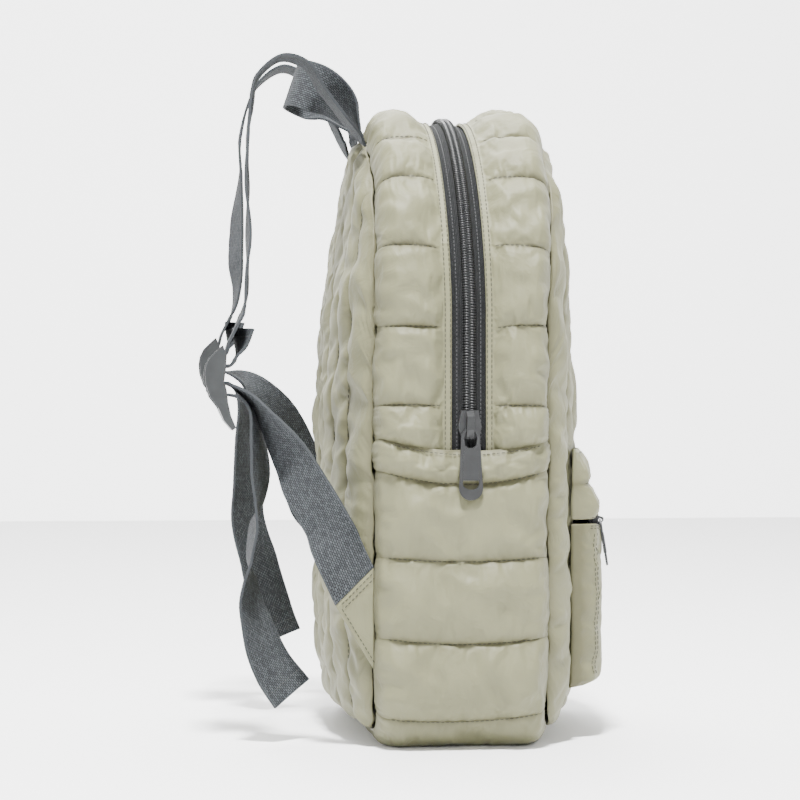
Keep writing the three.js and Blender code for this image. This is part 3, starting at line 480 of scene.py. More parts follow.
flatHalf = crown - bag["corner"]
cornerArc = bag["corner"] * math.pi / 2
sideStraight = bag["zipperEnd"] - bag["seamGap"] - bag["corner"]
baseLength = 2 * (flatHalf + cornerArc + sideStraight)


def baseStations(share):
    share = np.asarray(share, float)
    side = np.where(share < 0.5, -1.0, 1.0)
    along = np.abs(share - 0.5) * baseLength
    angle = np.clip((along - flatHalf) / bag["corner"], 0, math.pi / 2)
    outX, outZ = np.sin(angle), -np.cos(angle)
    flatX = np.minimum(along, flatHalf)
    up = np.maximum(along - flatHalf - cornerArc, 0)
    low = bag["corner"] - bag["baseBulge"]
    inset = bag["corner"] - bag["sideBulge"]
    seam = np.stack([side * (flatX + inset * outX), bag["corner"] + low * outZ + up], -1)
    top = np.stack([side * (flatX + bag["corner"] * outX), bag["corner"] + bag["corner"] * outZ + up], -1)
    return seam, top, np.stack([side * outX, outZ], -1)


puffSteps = np.array([0, 0.012, 0.03, 0.055, 0.085, 0.12, 0.17, 0.23, 0.3, 0.38, 0.46])
puffSteps = np.concatenate([puffSteps, 1 - puffSteps[:0:-1]])


def puffRows(lines):
    # rows along a strip, close together at the quilt lines, with the swell of each
    share, swell, near, index = [], [], [], []
    for k in range(len(lines) - 1):
        span = lines[k + 1] - lines[k]
        for step in puffSteps:
            share.append(lines[k] + span * step)
            swell.append(math.sin(math.pi * step) ** 0.72 if step > 0 else 0)
            near.append(min(step, 1 - step) * span)
            index.append(k + (step > 0.5))
    share.append(lines[-1])
    swell.append(0)
    near.append(0)
    index.append(len(lines) - 1)
    return np.array(share), np.array(swell), np.array(near), np.array(index)


def softTable(table, name, at):
    return np.interp(at, [row["across"] for row in table], [row[name] for row in table])


def quiltStrip(name, stations, length, lines, profile, edges, columns, shape):
    # a padded strip between two edges, quilted at its lines
    share, swell, near, index = puffRows(lines)
    across = np.asarray(columns)
    S, V = np.meshgrid(share, across, indexing="ij")
    swell, near, index = (a[:, None] + 0 * V for a in (swell, near, index))
    rise, fill = softTable(profile, "rise", V), softTable(profile, "fill", V)
    # each line tilts and sags a little, as sewn by hand
    lineTilt = np.array([shape["tilt"] * (2 * lattice(k, 3, shape["seed"]) - 1) for k in range(len(lines))])
    lineSag = np.array([shape["sag"] * (0.5 + lattice(k, 9, shape["seed"])) for k in range(len(lines))])
    lineTilt[[0, -1]] = 0
    lineSag[[0, -1]] = 0
    tilt = np.interp(share, lines, lineTilt)[:, None]
    sag = np.interp(share, lines, lineSag)[:, None]
    down = np.where(S < 0.5, 1, -1)
    moved = S + (tilt * (V - 0.5) * 2 + down * sag * np.sin(math.pi * V)) / length
    seam, top, out = stations(np.clip(moved, 0, 1))
    width = bag["depth"] if shape["wide"] else bag["depth"] / 2 - bag["zipperHalf"]
    seed = shape["seed"]
    d, t, s = near * length, V * width, S * length
    pinch = np.exp(-d / 9) * (1 - np.exp(-d / 1.4))
    folds = pinch * (3.0 * ridges(t / 7.5 + 13 * index, d / 26 + index, seed)
                     + 1.8 * ridges(t / 3.6 + 5 * index, d / 12, seed + 1))
    broad = 1.9 * softNoise(s / 24, t / 17, seed + 2) + 1.0 * softNoise(s / 10 + t / 21, t / 9, seed + 5)
    broad += 1.5 * ridges(s / 17 + t / 40, t / 26 - s / 60, seed + 7)
    edgeNear = np.minimum(V, (1 - V) if shape["wide"] else 2.0) * width
    tuck = np.exp(-edgeNear / 9) * (1 - np.exp(-edgeNear / 1.2)) * 3.2 * ridges(s / 9, t / 24, seed + 3)
    height = fill * (swell ** 0.7) * (broad + folds) + tuck * np.minimum(swell * 1.5, 1)
    dip = bag["quiltDip"] * fill * (1 - swell) + 0.5 * fill * np.exp(-(d / 1.6) ** 2)
    base = seam + (top - seam) * rise[..., None] + out * (height - dip)[..., None]
    low, high = edges(seam[..., 1])
    scallop = shape["scallop"] * (swell - 0.45) * np.exp(-edgeNear / 5)
    y = low + (high - low) * V + np.where(V < 0.5, -1, 1) * np.sign(high - low) * scallop * (
        1 if shape["wide"] else (V < 0.5))
    for end, places in ((0, t), (1, width - t)):
        if end == 0 or shape["wide"]:
            at = 1 if (low if end == 0 else high).mean() > 0 else -1
            y = y + seamWave(at, seam[..., 0], seam[..., 1]) * np.exp(-np.maximum(places, 0) / 7)
    z = base[..., 1]
    if shape["wide"]:
        bottom = smooth(-0.35, -0.97, out[..., 1])
        z = np.where(out[..., 1] < 0, np.maximum(z - 1.2 * bottom, 0.05 * (1 - bottom)), z)
    z = z + seamLift(y, z)
    if shape["wide"]:
        # the upper ends reach under the strips above them
        z = np.maximum(z + 1.4 * np.exp(-np.minimum(S, 1 - S) * length / 3), 0.3)
    points = np.stack([base[..., 0], y, z], -1)
    # painted shade mark: darker along the quilt lines and beside the seams
    crease_shade = np.clip(fill * np.exp(-d / 2.2) + 0.8 * np.exp(-edgeNear / 2.2), 0, 1)
    held = ((d < 0.5) & (fill > 0.05)) | (edgeNear < 0.3) | (fill < 0.1)
    piece = gridPiece(name, points, trueUv(points), bagMiddle, {"crease_shade": crease_shade, "hold": 1.0 * held})
    puffed(piece)
    walled(piece, bag["wall"])
    subdivided(piece)
    normals = gridNormals(points, bagMiddle)
    rows = [int(np.argmin(np.abs(share - line))) for line in lines]
    return {"piece": piece, "points": points, "normals": normals, "rows": rows, "across": across}


baseQuilt = {
    "profile": [
        {"across": 0, "rise": 0, "fill": 0}, {"across": 0.012, "rise": 0.3, "fill": 0.15},
        {"across": 0.03, "rise": 0.56, "fill": 0.35}, {"across": 0.055, "rise": 0.75, "fill": 0.6},
        {"across": 0.085, "rise": 0.87, "fill": 0.8}, {"across": 0.13, "rise": 0.96, "fill": 0.95},
        {"across": 0.2, "rise": 1, "fill": 1}, {"across": 0.5, "rise": 1, "fill": 1},
    ],
    "down": [0, 0.058, 0.214, 0.38, 0.55, 0.754, 0.912],
    "columns": np.concatenate([
        [0, 0.006, 0.014, 0.024, 0.036, 0.05, 0.066, 0.085], np.linspace(0.105, 0.895, 44),
        [0.915, 0.934, 0.95, 0.964, 0.976, 0.986, 0.994, 1]]),
    "shape": {"seed": 3, "tilt": 1.6, "sag": 2.6, "wide": True, "scallop": 1.5},
}
topQuilt = {
    "profile": [
        {"across": 0, "rise": 0, "fill": 0}, {"across": 0.025, "rise": 0.28, "fill": 0.12},
        {"across": 0.06, "rise": 0.52, "fill": 0.3}, {"across": 0.11, "rise": 0.7, "fill": 0.5},
        {"across": 0.17, "rise": 0.84, "fill": 0.75}, {"across": 0.25, "rise": 0.94, "fill": 0.95},
        {"across": 0.36, "rise": 1, "fill": 1}, {"across": 0.55, "rise": 1, "fill": 1},
        {"across": 0.68, "rise": 0.97, "fill": 0.95}, {"across": 0.77, "rise": 0.88, "fill": 0.7},
        {"across": 0.83, "rise": 0.76, "fill": 0.35}, {"across": 0.87, "rise": 0.66, "fill": 0.08},
        {"across": 0.89, "rise": 0.64, "fill": 0}, {"across": 1, "rise": 0.64, "fill": 0},
    ],
    "lines": [0, 0.046, 0.129, 0.215, 0.3014, 0.3744, 0.455],
    "columns": np.concatenate([
        [0, 0.012, 0.028, 0.048, 0.072, 0.1], np.linspace(0.13, 0.82, 24),
        [0.845, 0.865, 0.885, 0.91, 0.945, 0.98, 1]]),
    "shape": {"tilt": 1.5, "sag": 0.8, "wide": False, "scallop": 1.2},
    "sewnBeside": (0.905, 0.965),
}


def sewRows(strip, rows, columns):
    for row in rows:
        sewLine("quilt", strip["points"][row, columns], strip["normals"][row, columns], pitch=2.9, length=2.0,
                lift=0.75)


def baseEdges(z):
    return seamPlace(-1, z) + bag["seamGap"], seamPlace(1, z) - bag["seamGap"]


def makeBaseStrip():
    profile = baseQuilt["profile"]
    profile = profile + [{**row, "across": 1 - row["across"]} for row in reversed(profile[:-1])]
    down = baseQuilt["down"]
    lines = [v / 2 for v in down] + [1 - v / 2 for v in reversed(down)]
    columns = np.unique(baseQuilt["columns"])
    strip = quiltStrip("side_and_base", baseStations, baseLength, lines, profile, baseEdges, columns,
                       baseQuilt["shape"])
    dress(strip["piece"], quiltCloth, replaced=["base_gusset"])
    return strip


def makeTopStrip(name, sign, seed):
    def edges(z):
        return seamPlace(sign, z) - sign * bag["seamGap"], zipperPlace(z) + sign * bag["zipperHalf"]

    lines = topQuilt["lines"] + [1 - v for v in reversed(topQuilt["lines"])]
    columns = np.unique(topQuilt["columns"])
    shape = {**topQuilt["shape"], "seed": seed}
    strip = quiltStrip("top_strip_" + name, archStations, archLength, lines, topQuilt["profile"], edges,
                       columns, shape)
    dress(strip["piece"], quiltCloth, replaced=["top_gusset_" + name])
    for column in topQuilt["sewnBeside"]:
        j = int(np.argmin(np.abs(strip["across"] - column)))
        sewLine("quilt", strip["points"][:, j], strip["normals"][:, j], pitch=3.0, length=2.1)
    sewRows(strip, strip["rows"][1:-1], slice(5, len(columns) - 6))


baseStrip = makeBaseStrip()
makeTopStrip("back", 1, 11)
makeTopStrip("front", -1, 17)
sewRows(baseStrip, [5, len(baseStrip["points"]) - 6] + baseStrip["rows"][1:-1], slice(6, -6))
print("side strips made")


# Back and front panels, each one sheet with sewn channels
panel = {
    "rimRise": 5, "rimReach": 14, "channels": 8,
    "domes": {
        "back": [(0, 0), (0.023, 0.57), (0.047, 0.79), (0.108, 0.94), (0.17, 1), (0.5, 1), (0.56, 0.94),
                 (0.683, 0.745), (0.754, 0.59), (0.827, 0.39), (0.924, 0.17), (1, 0)],
        "front": [(0, 0.1), (0.03, 0.75), (0.07, 0.94), (0.15, 1), (0.5, 1), (0.6, 0.94), (0.68, 0.84),
                  (0.735, 0.75), (0.81, 0.52), (0.887, 0.25), (0.924, 0.12), (1, 0)],
    },
}
archTop = archHeight + seamRadius
channelWidth = 2 * seamRadius / panel["channels"]


def panelBottom(x):
    over = np.clip((np.abs(x) - flatHalf) / (seamRadius - flatHalf), 0, 1)
    return bag["corner"] - (bag["corner"] - bag["baseBulge"]) * np.sqrt(1 - over * over)


def panelTop(x):
    return archHeight + np.sqrt(np.maximum(seamRadius ** 2 - x * x, 0))


def seamDistance(x, z):
    beside = np.where(z > archHeight, seamRadius - np.hypot(x, z - archHeight), seamRadius - np.abs(x))
    return np.maximum(np.minimum(beside, z - panelBottom(x)), 0)


def panelRise(x, z, dome, bulge):
    near = np.clip(seamDistance(x, z) / panel["rimReach"], 0, 1)
    edge = panel["rimRise"] * (1 - (1 - near) ** 2)
    up = (z - bag["baseBulge"]) / (archTop - bag["baseBulge"])
    narrowed = np.sqrt(np.maximum(seamRadius ** 2 - (z - archHeight) ** 2, 1e-9))
    across = np.clip(np.abs(x) / np.where(z > archHeight, narrowed, seamRadius), 0, 1)
    places, values = zip(*panel["domes"][dome])
    return edge + (bulge - panel["rimRise"]) * np.interp(up, places, values) * (1 - across ** 2.4)


def panelSheet(name, sign, dome, bulge, seed):
    fine = np.linspace(0, channelWidth, 13)[:-1]
    crowded = channelWidth / 2 * (1 - np.cos(math.pi * fine / channelWidth))
    starts = [k * channelWidth - seamRadius for k in range(panel["channels"])]
    across = np.unique(np.concatenate([start + crowded for start in starts] + [[seamRadius]]))
    across = np.clip(across, -seamRadius, seamRadius)
    up = np.unique(np.concatenate([
        [0, 0.002, 0.006, 0.012, 0.02, 0.03, 0.042, 0.055], np.linspace(0.07, 0.93, 110),
        [0.945, 0.958, 0.97, 0.98, 0.988, 0.994, 0.998, 1]]))
    X, U = np.meshgrid(across, up, indexing="ij")
    Z = panelBottom(X) + (panelTop(X) - panelBottom(X)) * U
    distance = seamDistance(X, Z)
    near = np.clip(distance / panel["rimReach"], 0, 1)
    phase = np.abs(np.sin(math.pi * X / channelWidth))
    lineNear = np.abs((X + channelWidth / 2) % channelWidth - channelWidth / 2)
    lineNear = np.where(np.abs(X) > seamRadius - channelWidth / 2, 99.0, lineNear)
    rise = panelRise(X, Z, dome, bulge)
    channel = bag["quiltDip"] * (1 - phase ** 0.6) * np.where(lineNear < 90, 1, 0)
    index = np.rint(X / channelWidth)
    pull = np.exp(-lineNear / 9) * (1 - np.exp(-lineNear / 1.3))
    slant = (Z + 0.55 * (X - index * channelWidth)) / 9
    folds = pull * 2.8 * ridges(slant + 7 * index, lineNear / 20, seed)
    atSeam = np.exp(-distance / 9) * (1 - np.exp(-distance / 1.3))
    seamFolds = atSeam * 3.4 * ridges((Z + 0.5 * np.abs(X)) / 11, X / 26, seed + 1)
    broad = 1.7 * softNoise(X / 19, Z / 42, seed + 2) + 0.9 * softNoise(X / 12 + Z / 31, Z / 15, seed + 3)
    height = near * (folds + broad * phase ** 0.7) + seamFolds - channel * near - near * 0.9 * np.exp(
        -(lineNear / 1.5) ** 2)
    gap = bag["seamGap"]
    Y = seamPlace(sign, Z) + sign * (gap + (bag["wall"] - gap) * smooth(0, 2.5, distance) + rise + height)
    Y = Y + seamWave(sign, X, Z) * np.exp(-distance / 7)
    points = np.stack([X, Y, Z], -1)
    # painted shade mark: darker along the sewn channels and beside the seams
    crease_shade = np.clip(near * np.exp(-lineNear / 2.2) * 0.95 + 0.85 * np.exp(-distance / 2.2), 0, 1)
    held = (lineNear < 0.4) | (distance < 0.5)
    piece = gridPiece(name, points, trueUv(points), bagMiddle, {"crease_shade": crease_shade, "hold": 1.0 * held})
    puffed(piece)
    walled(piece, bag["wall"])
    subdivided(piece)
    normals = gridNormals(points, bagMiddle)
    half = panel["channels"] // 2
    for k in range(1 - half, half):
        i = int(np.argmin(np.abs(across - k * channelWidth)))
        sewLine("panels", points[i, 6:-6], normals[i, 6:-6], pitch=3.3, length=2.2, lift=0.7)
    dress(piece, quiltCloth, replaced=[dome + "_panel"])


panelSheet("back_panel_cloth", 1, "back", bag["backBulge"], 21)
panelSheet("front_panel_cloth", -1, "front", bag["frontBulge"], 31)
print("panels made")


# Zipper: woven tapes, two rows of coil teeth
zipper = {
    "pitch": 1.6, "slider": 190, "sliderLength": 16.7, "tapeWall": 0.9, "toothRadius": 0.55,
    "tapeOffs": [16, 13, 10, 9, 7, 5, 3.6, 2.4, 1.4, 0.6, 0.3],
    "tapeRise": [(0.3, 12.6), (3.6, 12.3), (10, 9.7), (16, 9.7)],
    "tooth": [(3.5, 12.95), (3.3, 14.3), (1.9, 14.9), (0.4, 14.6), (-0.5, 13.7)],
    "toothShares": (0.85, 1.0, 1.05, 1.15, 0.9),
}


def heightPoint(share, rise, off):
    # a point over the seam's arc: rise is its height over the seam, off its place beside the middle
    seam, top, out = archStations(share)
    base = seam + out * rise
    return np.stack([base[..., 0], zipperPlace(seam[..., 1]) + off, base[..., 1]], -1)


def zipTape(name, sign):
    rows = np.linspace(0.0006, 0.9994, 420)
    offs = np.array(zipper["tapeOffs"])
    rises = np.interp(offs, *zip(*zipper["tapeRise"]))
    points = np.stack([heightPoint(rows, rise, sign * off) for off, rise in zip(offs, rises)], 1)
    uv = trueUv(points)
    uv[:, :, 1] = sign * offs[None, :]
    tape = gridPiece("zip_tape_" + name, points, uv, bagMiddle)
    walled(tape, zipper["tapeWall"])
    dress(tape, tapeCloth, replaced=["zipper_tape_" + name])
    normals = gridNormals(points, bagMiddle)
    sewLine("tape", points[:, 4], normals[:, 4], pitch=2.4, length=1.7, lift=0.05)


def zipTeeth():
    first = (zipper["slider"] + zipper["sliderLength"] / 2 - bag["zipperEnd"]) / archLength
    rods = []
    for k in range(int((0.9992 - first) * archLength / zipper["pitch"])):
        for sign in (-1, 1):
            share = first + (k + (0.5 if sign > 0 else 0)) * zipper["pitch"] / archLength
            spots = [heightPoint(np.array(share), rise, sign * off) for off, rise in zipper["tooth"]]
            rods.append((spots, zipper["toothShares"]))
    dress(rodPiece("zip_teeth", rods, zipper["toothRadius"]), coilPlastic,
          replaced=["zipper_coil"])


zipTape("back", 1)
zipTape("front", -1)
zipTeeth()
print("zipper made")


# Hard pieces keep the shape of the frame and get rounded edges
metalEdges = {"zipper_slider": 0.3, "zipper_pull": 0.13, "pocket_slider": 0.16, "pocket_pull": 0.1}
buckleEdge = {"width": 0.6, "angle": 50}


def rounded(node, material, width, angle=32):
    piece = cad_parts[node]
    addModifier(piece, "WELD", "join", merge_threshold=0.000004)
    addModifier(piece, "BEVEL", "round", width=width * mm, segments=3, limit_method="ANGLE",
                angle_limit=math.radians(angle), profile=0.5, use_clamp_overlap=True, harden_normals=True)
    piece.data.materials.clear()
    piece.data.materials.append(material)


for node, width in metalEdges.items():
    rounded(node, gunmetal, width)
for node in ("buckle_left", "buckle_right"):
    rounded(node, greyPlastic, buckleEdge["width"], buckleEdge["angle"])


# Webbing
web = {
    "width": 30, "thickness": 1.6, "reach": 100, "spread": 70, "handleSpread": 22, "tab": 107.8,
    "across": [-15, -14.6, -13.8, -12, -8, -4, 0, 4, 8, 12, 13.8, 14.6, 15],
}
bar = {"out": 140, "up": 228, "lowerOut": 4, "lowerDrop": 17, "radius": 2, "gap": 0.8, "lift": 8}


def curveThrough(points, count):
    # the same centripetal curve through its points as the frame's webbing
    points = np.asarray(points, float)
    places = np.linspace(0, 1, count + 1) * (len(points) - 1)
    result = []
    for place in places:
        i = min(int(place), len(points) - 2)
        t = place - i
        a = points[i - 1] if i > 0 else 2 * points[0] - points[1]
        b, c = points[i], points[i + 1]
        d = points[i + 2] if i + 2 < len(points) else 2 * points[-1] - points[-2]
        steps = [np.sum((q - p) ** 2) ** 0.25 for p, q in ((a, b), (b, c), (c, d))]
        mid = steps[1] if steps[1] > 1e-4 else 1.0
        first = steps[0] if steps[0] > 1e-4 else mid
        last = steps[2] if steps[2] > 1e-4 else mid
        t1 = ((b - a) / first - (c - a) / (first + mid) + (c - b) / mid) * mid
        t2 = ((c - b) / mid - (d - b) / (mid + last) + (d - c) / last) * mid
        bend = (-3 * b + 3 * c - 2 * t1 - t2) * t ** 2
        result.append(b + t1 * t + bend + (2 * b - 2 * c + t1 + t2) * t ** 3)
    return np.array(result)


def webPoint(across, out, up, spread=None):
    return (across * (spread or web["spread"]), seamY + out * web["reach"], up * bag["height"])


def roundBar(x, y, z, angles):
    radius = bar["radius"] + bar["gap"] + web["thickness"] / 2
    degrees = [math.radians(a) for a in angles]
    return [(x, y + radius * math.cos(a), z + radius * math.sin(a)) for a in degrees]


def webbing(name, spots, wides, count, node, seed, cut=None):
    # a band along a route of spots, whose width points along wides
    path = curveThrough(spots, count)
    wide = curveThrough(wides, count)
    along = np.gradient(path, axis=0)
    along /= np.linalg.norm(along, axis=1, keepdims=True)
    wide = wide - along * (wide * along).sum(1, keepdims=True)
    wide /= np.linalg.norm(wide, axis=1, keepdims=True)
    normal = np.cross(wide, along)
    if cut is not None:
        # the end sewn into its tab is cut at a slant
        slanted = cut / np.dot(cut, wide[0])
        for k in range(4):
            wide[k] = wide[k] + (slanted - wide[0] if k == 0 else (slanted - wide[k]) * (1 - k / 4))
    across = np.array(web["across"])
    length = np.concatenate([[0], np.cumsum(np.linalg.norm(np.diff(path, axis=0), axis=1))])
    wave = np.stack([0.35 * softNoise(length / 14, 0 * length + a / 16, seed) for a in across], 1)
    rim = 0.3 * (np.abs(across) > 13) * np.sin(length * 2.6)[:, None] * 0.25
    points = path[:, None] + wide[:, None] * across[None, :, None] + normal[:, None] * (wave + rim)[..., None]
    uv = np.stack([length[:, None] + 0 * across[None], 0 * length[:, None] + across[None]], 2)
    piece = gridPiece(name, points, uv)
    walled(piece, web["thickness"], 0.0)
    addModifier(piece, "BEVEL", "edge", width=0.35 * mm, segments=2, limit_method="ANGLE",
                angle_limit=math.radians(50))
    dress(piece, webCloth, replaced=[node])
    return {"points": points, "normal": normal, "length": length}


# across in shares of web spread, out in shares of web reach, up in shares of bag height, then the twist
strapTables = {
    "left": [(-0.57, 0.03, 0.9442, 0), (-0.6, 0.055, 0.955, 0), (-0.69, 0.15, 0.983, 0),
             (-0.74, 0.266, 1.02, 0), (-0.8, 0.372, 1.058, 0), (-0.81, 0.518, 1.067, 0),
             (-0.81, 0.657, 1.038, -0.05),
             (-0.83, 0.691, 1.008, -0.1), (-0.87, 0.719, 0.945, 0), (-0.91, 0.726, 0.87, -0.1),
             (-0.94, 0.718, 0.793, 0.05), (-0.99, 0.731, 0.705, -0.1), (-1, 0.752, 0.668, 0),
             (-1, 0.79, 0.646, 0), (-1, 0.838, 0.62, 0)],
    "right": [(0.57, 0.03, 0.9442, 0), (0.6, 0.055, 0.955, 0), (0.66, 0.12, 0.99, 0), (0.71, 0.2, 1.035, 0),
              (0.77, 0.31, 1.075, 0), (0.8, 0.45, 1.09, 0), (0.81, 0.6, 1.065, 0), (0.83, 0.656, 1.038, 0),
              (0.86, 0.72, 0.971, 0), (0.87, 0.717, 0.913, 0), (0.91, 0.738, 0.833, 0.2),
              (0.94, 0.747, 0.767, 0.25), (0.97, 0.74, 0.718, 0.1), (1, 0.765, 0.68, 0),
              (1, 0.838, 0.641, 0)],
}
foldTable = [(0.83, -0.008, 0), (0.79, 0.006, 0), (0.765, 0.022, 0.2), (0.75, 0.05, 0.4)]
# the same three shares, then the direction of the webbing's width
lowerTables = {
    "left": [(1.5, 0.271, 0.3395, 0.43, 0.77, -0.47), (1.41, 0.402, 0.4, 0.5, 0.71, -0.48),
             (1.31, 0.485, 0.4436, 0.69, 0.51, -0.5), (1.19, 0.613, 0.4956, 0.94, 0.21, -0.27),
             (1.07, 0.719, 0.5309, 1, 0.05, -0.08), (1, 0.801, 0.5485, 1, 0, 0), (1, 0.84, 0.557, 1, 0, 0)],
    "right": [(1.66, 0.23, 0.35, -0.5, -0.5, 0.7), (1.56, 0.31, 0.43, 0.1, -0.65, 0.7),
              (1.35, 0.43, 0.495, 0.5, -0.6, 0.6), (1.11, 0.608, 0.5447, 0.8, -0.4, 0.43),
              (1.02, 0.73, 0.57, 0.97, -0.12, 0.12), (1, 0.84, 0.579, 1, 0, 0)],
}
tailTables = {
    "left": [(1, 0.83, 0.5385, 1, 0, 0), (1.01, 0.765, 0.5325, 1, 0, 0), (1.03, 0.7, 0.514, 0.98, -0.1, 0),
             (1.04, 0.668, 0.4766, 0.96, -0.28, 0), (1.05, 0.65, 0.424, 0.92, -0.4, 0),
             (1.04, 0.655, 0.3696, 0.98, -0.2, 0), (1.02, 0.69, 0.33, 0.99, 0.1, 0),
             (1, 0.717, 0.2826, 0.99, 0.05, 0), (1, 0.711, 0.25, 0.96, -0.26, 0),
             (1, 0.705, 0.2158, 0.88, -0.48, 0), (1, 0.669, 0.1816, 0.78, -0.6, 0.1),
             (1, 0.621, 0.1426, 0.68, -0.7, 0.2), (1, 0.555, 0.1083, 0.56, -0.78, 0.26),
             (1, 0.46, 0.074, 0.46, -0.84, 0.28)],
    "right": [(1, 0.83, 0.5605, 1, 0, 0), (1, 0.743, 0.548, 0.99, -0.1, 0),
              (1, 0.697, 0.5208, 0.95, -0.25, 0), (0.98, 0.678, 0.4457, 0.86, -0.5, 0),
              (0.97, 0.67, 0.3868, 0.78, -0.62, 0),
              (0.97, 0.665, 0.3268, 0.68, -0.72, 0), (0.97, 0.596, 0.2587, 0.6, -0.77, 0.12),
              (0.97, 0.508, 0.17, 0.44, -0.86, 0.24), (0.97, 0.452, 0.128, 0.4, -0.88, 0.26)],
}
tab = {
    "thickness": 2.4, "top": 106.6, "foot": 46.6, "slant": math.radians(45), "web": math.radians(65),
    "turn": {"left": 0.0, "right": math.radians(55)},
}


def turnedOut(v, sign, turn):
    # turns a point or a direction about the upright at the side seam
    cos, sin = math.cos(-sign * turn), math.sin(-sign * turn)
    return np.array([v[0] * cos - v[1] * sin, v[0] * sin + v[1] * cos, v[2]])


def sewHem(band, fromEnd):
    # a row of stitches across webbing on both its faces, a few millimetres from its end
    row = int(np.argmin(np.abs(band["length"] - (band["length"][-1] - fromEnd))))
    points = band["points"][row, 1:-1]
    n = band["normal"][row][None] + 0 * points
    for face in (1, -1):
        sewLine("web", points + face * n * web["thickness"] / 2, face * n, pitch=2.5, length=1.8, lift=0.1)


tabEdge = web["width"] / math.cos(tab["web"] - tab["slant"])


def upperWebbing(side, sign):
    top = bar["up"] + (bar["lift"] if sign > 0 else 0)
    spots = [webPoint(a, o, u) for a, o, u, t in strapTables[side]]
    wides = [(1, t, 0) for a, o, u, t in strapTables[side]]
    around = roundBar(sign * web["spread"], bar["out"], top, (125, 60, 0, -60, -110))
    spots += around
    wides += [(1, 0, 0)] * len(around)
    spots += [webPoint(sign, o, u + top / bag["height"]) for o, u, t in foldTable]
    wides += [(1, t, 0) for o, u, t in foldTable]
    strap = webbing("shoulder_strap_" + side, spots, wides, 300, "strap_" + side, 41 + sign)
    sewHem(strap, 5)


def lowerWebbing(side, sign):
    turn = tab["turn"][side]
    lean = tab["web"] - tab["slant"]
    reach = (math.sin(tab["slant"]) * tabEdge / 2, tab["top"] - math.cos(tab["slant"]) * tabEdge / 2)
    across = turnedOut((0, -sign * math.sin(tab["web"]), sign * math.cos(tab["web"])), sign, turn)
    seam = np.array([sign * web["tab"], seamY + bag["seamGap"], 0])
    spots, wides = [], []
    for distance in (bag["seamGap"] / math.cos(lean), 0.7 * web["width"]):
        y, z = reach[0] + distance * math.cos(tab["web"]), reach[1] + distance * math.sin(tab["web"])
        spots.append(turnedOut((0, y, z), sign, turn) + seam)
        wides.append(across)
    cut = turnedOut((0, -sign * math.sin(tab["slant"]), sign * math.cos(tab["slant"])), sign, turn)
    spots += [webPoint(row[0] * sign, *row[1:3]) for row in lowerTables[side]]
    wides += [row[3:] for row in lowerTables[side]]
    low = bar["up"] - bar["lowerDrop"] + (bar["lift"] if sign > 0 else 0)
    around = roundBar(sign * web["spread"], bar["out"] + bar["lowerOut"], low, (110, 60, 0, -60, -110))
    spots += around
    wides += [(1, 0, 0)] * len(around)
    spots += [webPoint(row[0] * sign, *row[1:3]) for row in tailTables[side]]
    wides += [row[3:] for row in tailTables[side]]
    lower = webbing("lower_webbing_" + side, spots, wides, 360, "lower_strap_" + side, 51 + sign, cut)
    sewHem(lower, 9)


handleTop = (0, 0.42, 1.045, 0, 0.32, -0.95)
handleHalf = [(1, 0.004, 0.951, 1, 0, 0), (1, 0.02, 0.967, 1, 0, 0), (1, 0.083, 0.99, 0.92, 0.3, -0.25),
              (1.1, 0.183, 1.017, 0.62, 0.55, -0.56), (1.05, 0.29, 1.033, 0.2, 0.42, -0.87),
              (0.7, 0.385, 1.043, 0, 0.35, -0.93)]


def carryHandle():
    mirrored = [(a, o, u, -wx, wy, wz) for a, o, u, wx, wy, wz in reversed(handleHalf)]
    rows = [(-a, *rest) for a, *rest in handleHalf] + [handleTop] + mirrored
    spots = [webPoint(*row[:3], web["handleSpread"]) for row in rows]
    webbing("carry_handle", spots, [row[3:] for row in rows], 160, "grab_handle", 61)


for side, sign in (("left", -1), ("right", 1)):
    upperWebbing(side, sign)
    lowerWebbing(side, sign)
carryHandle()
print("webbing made")


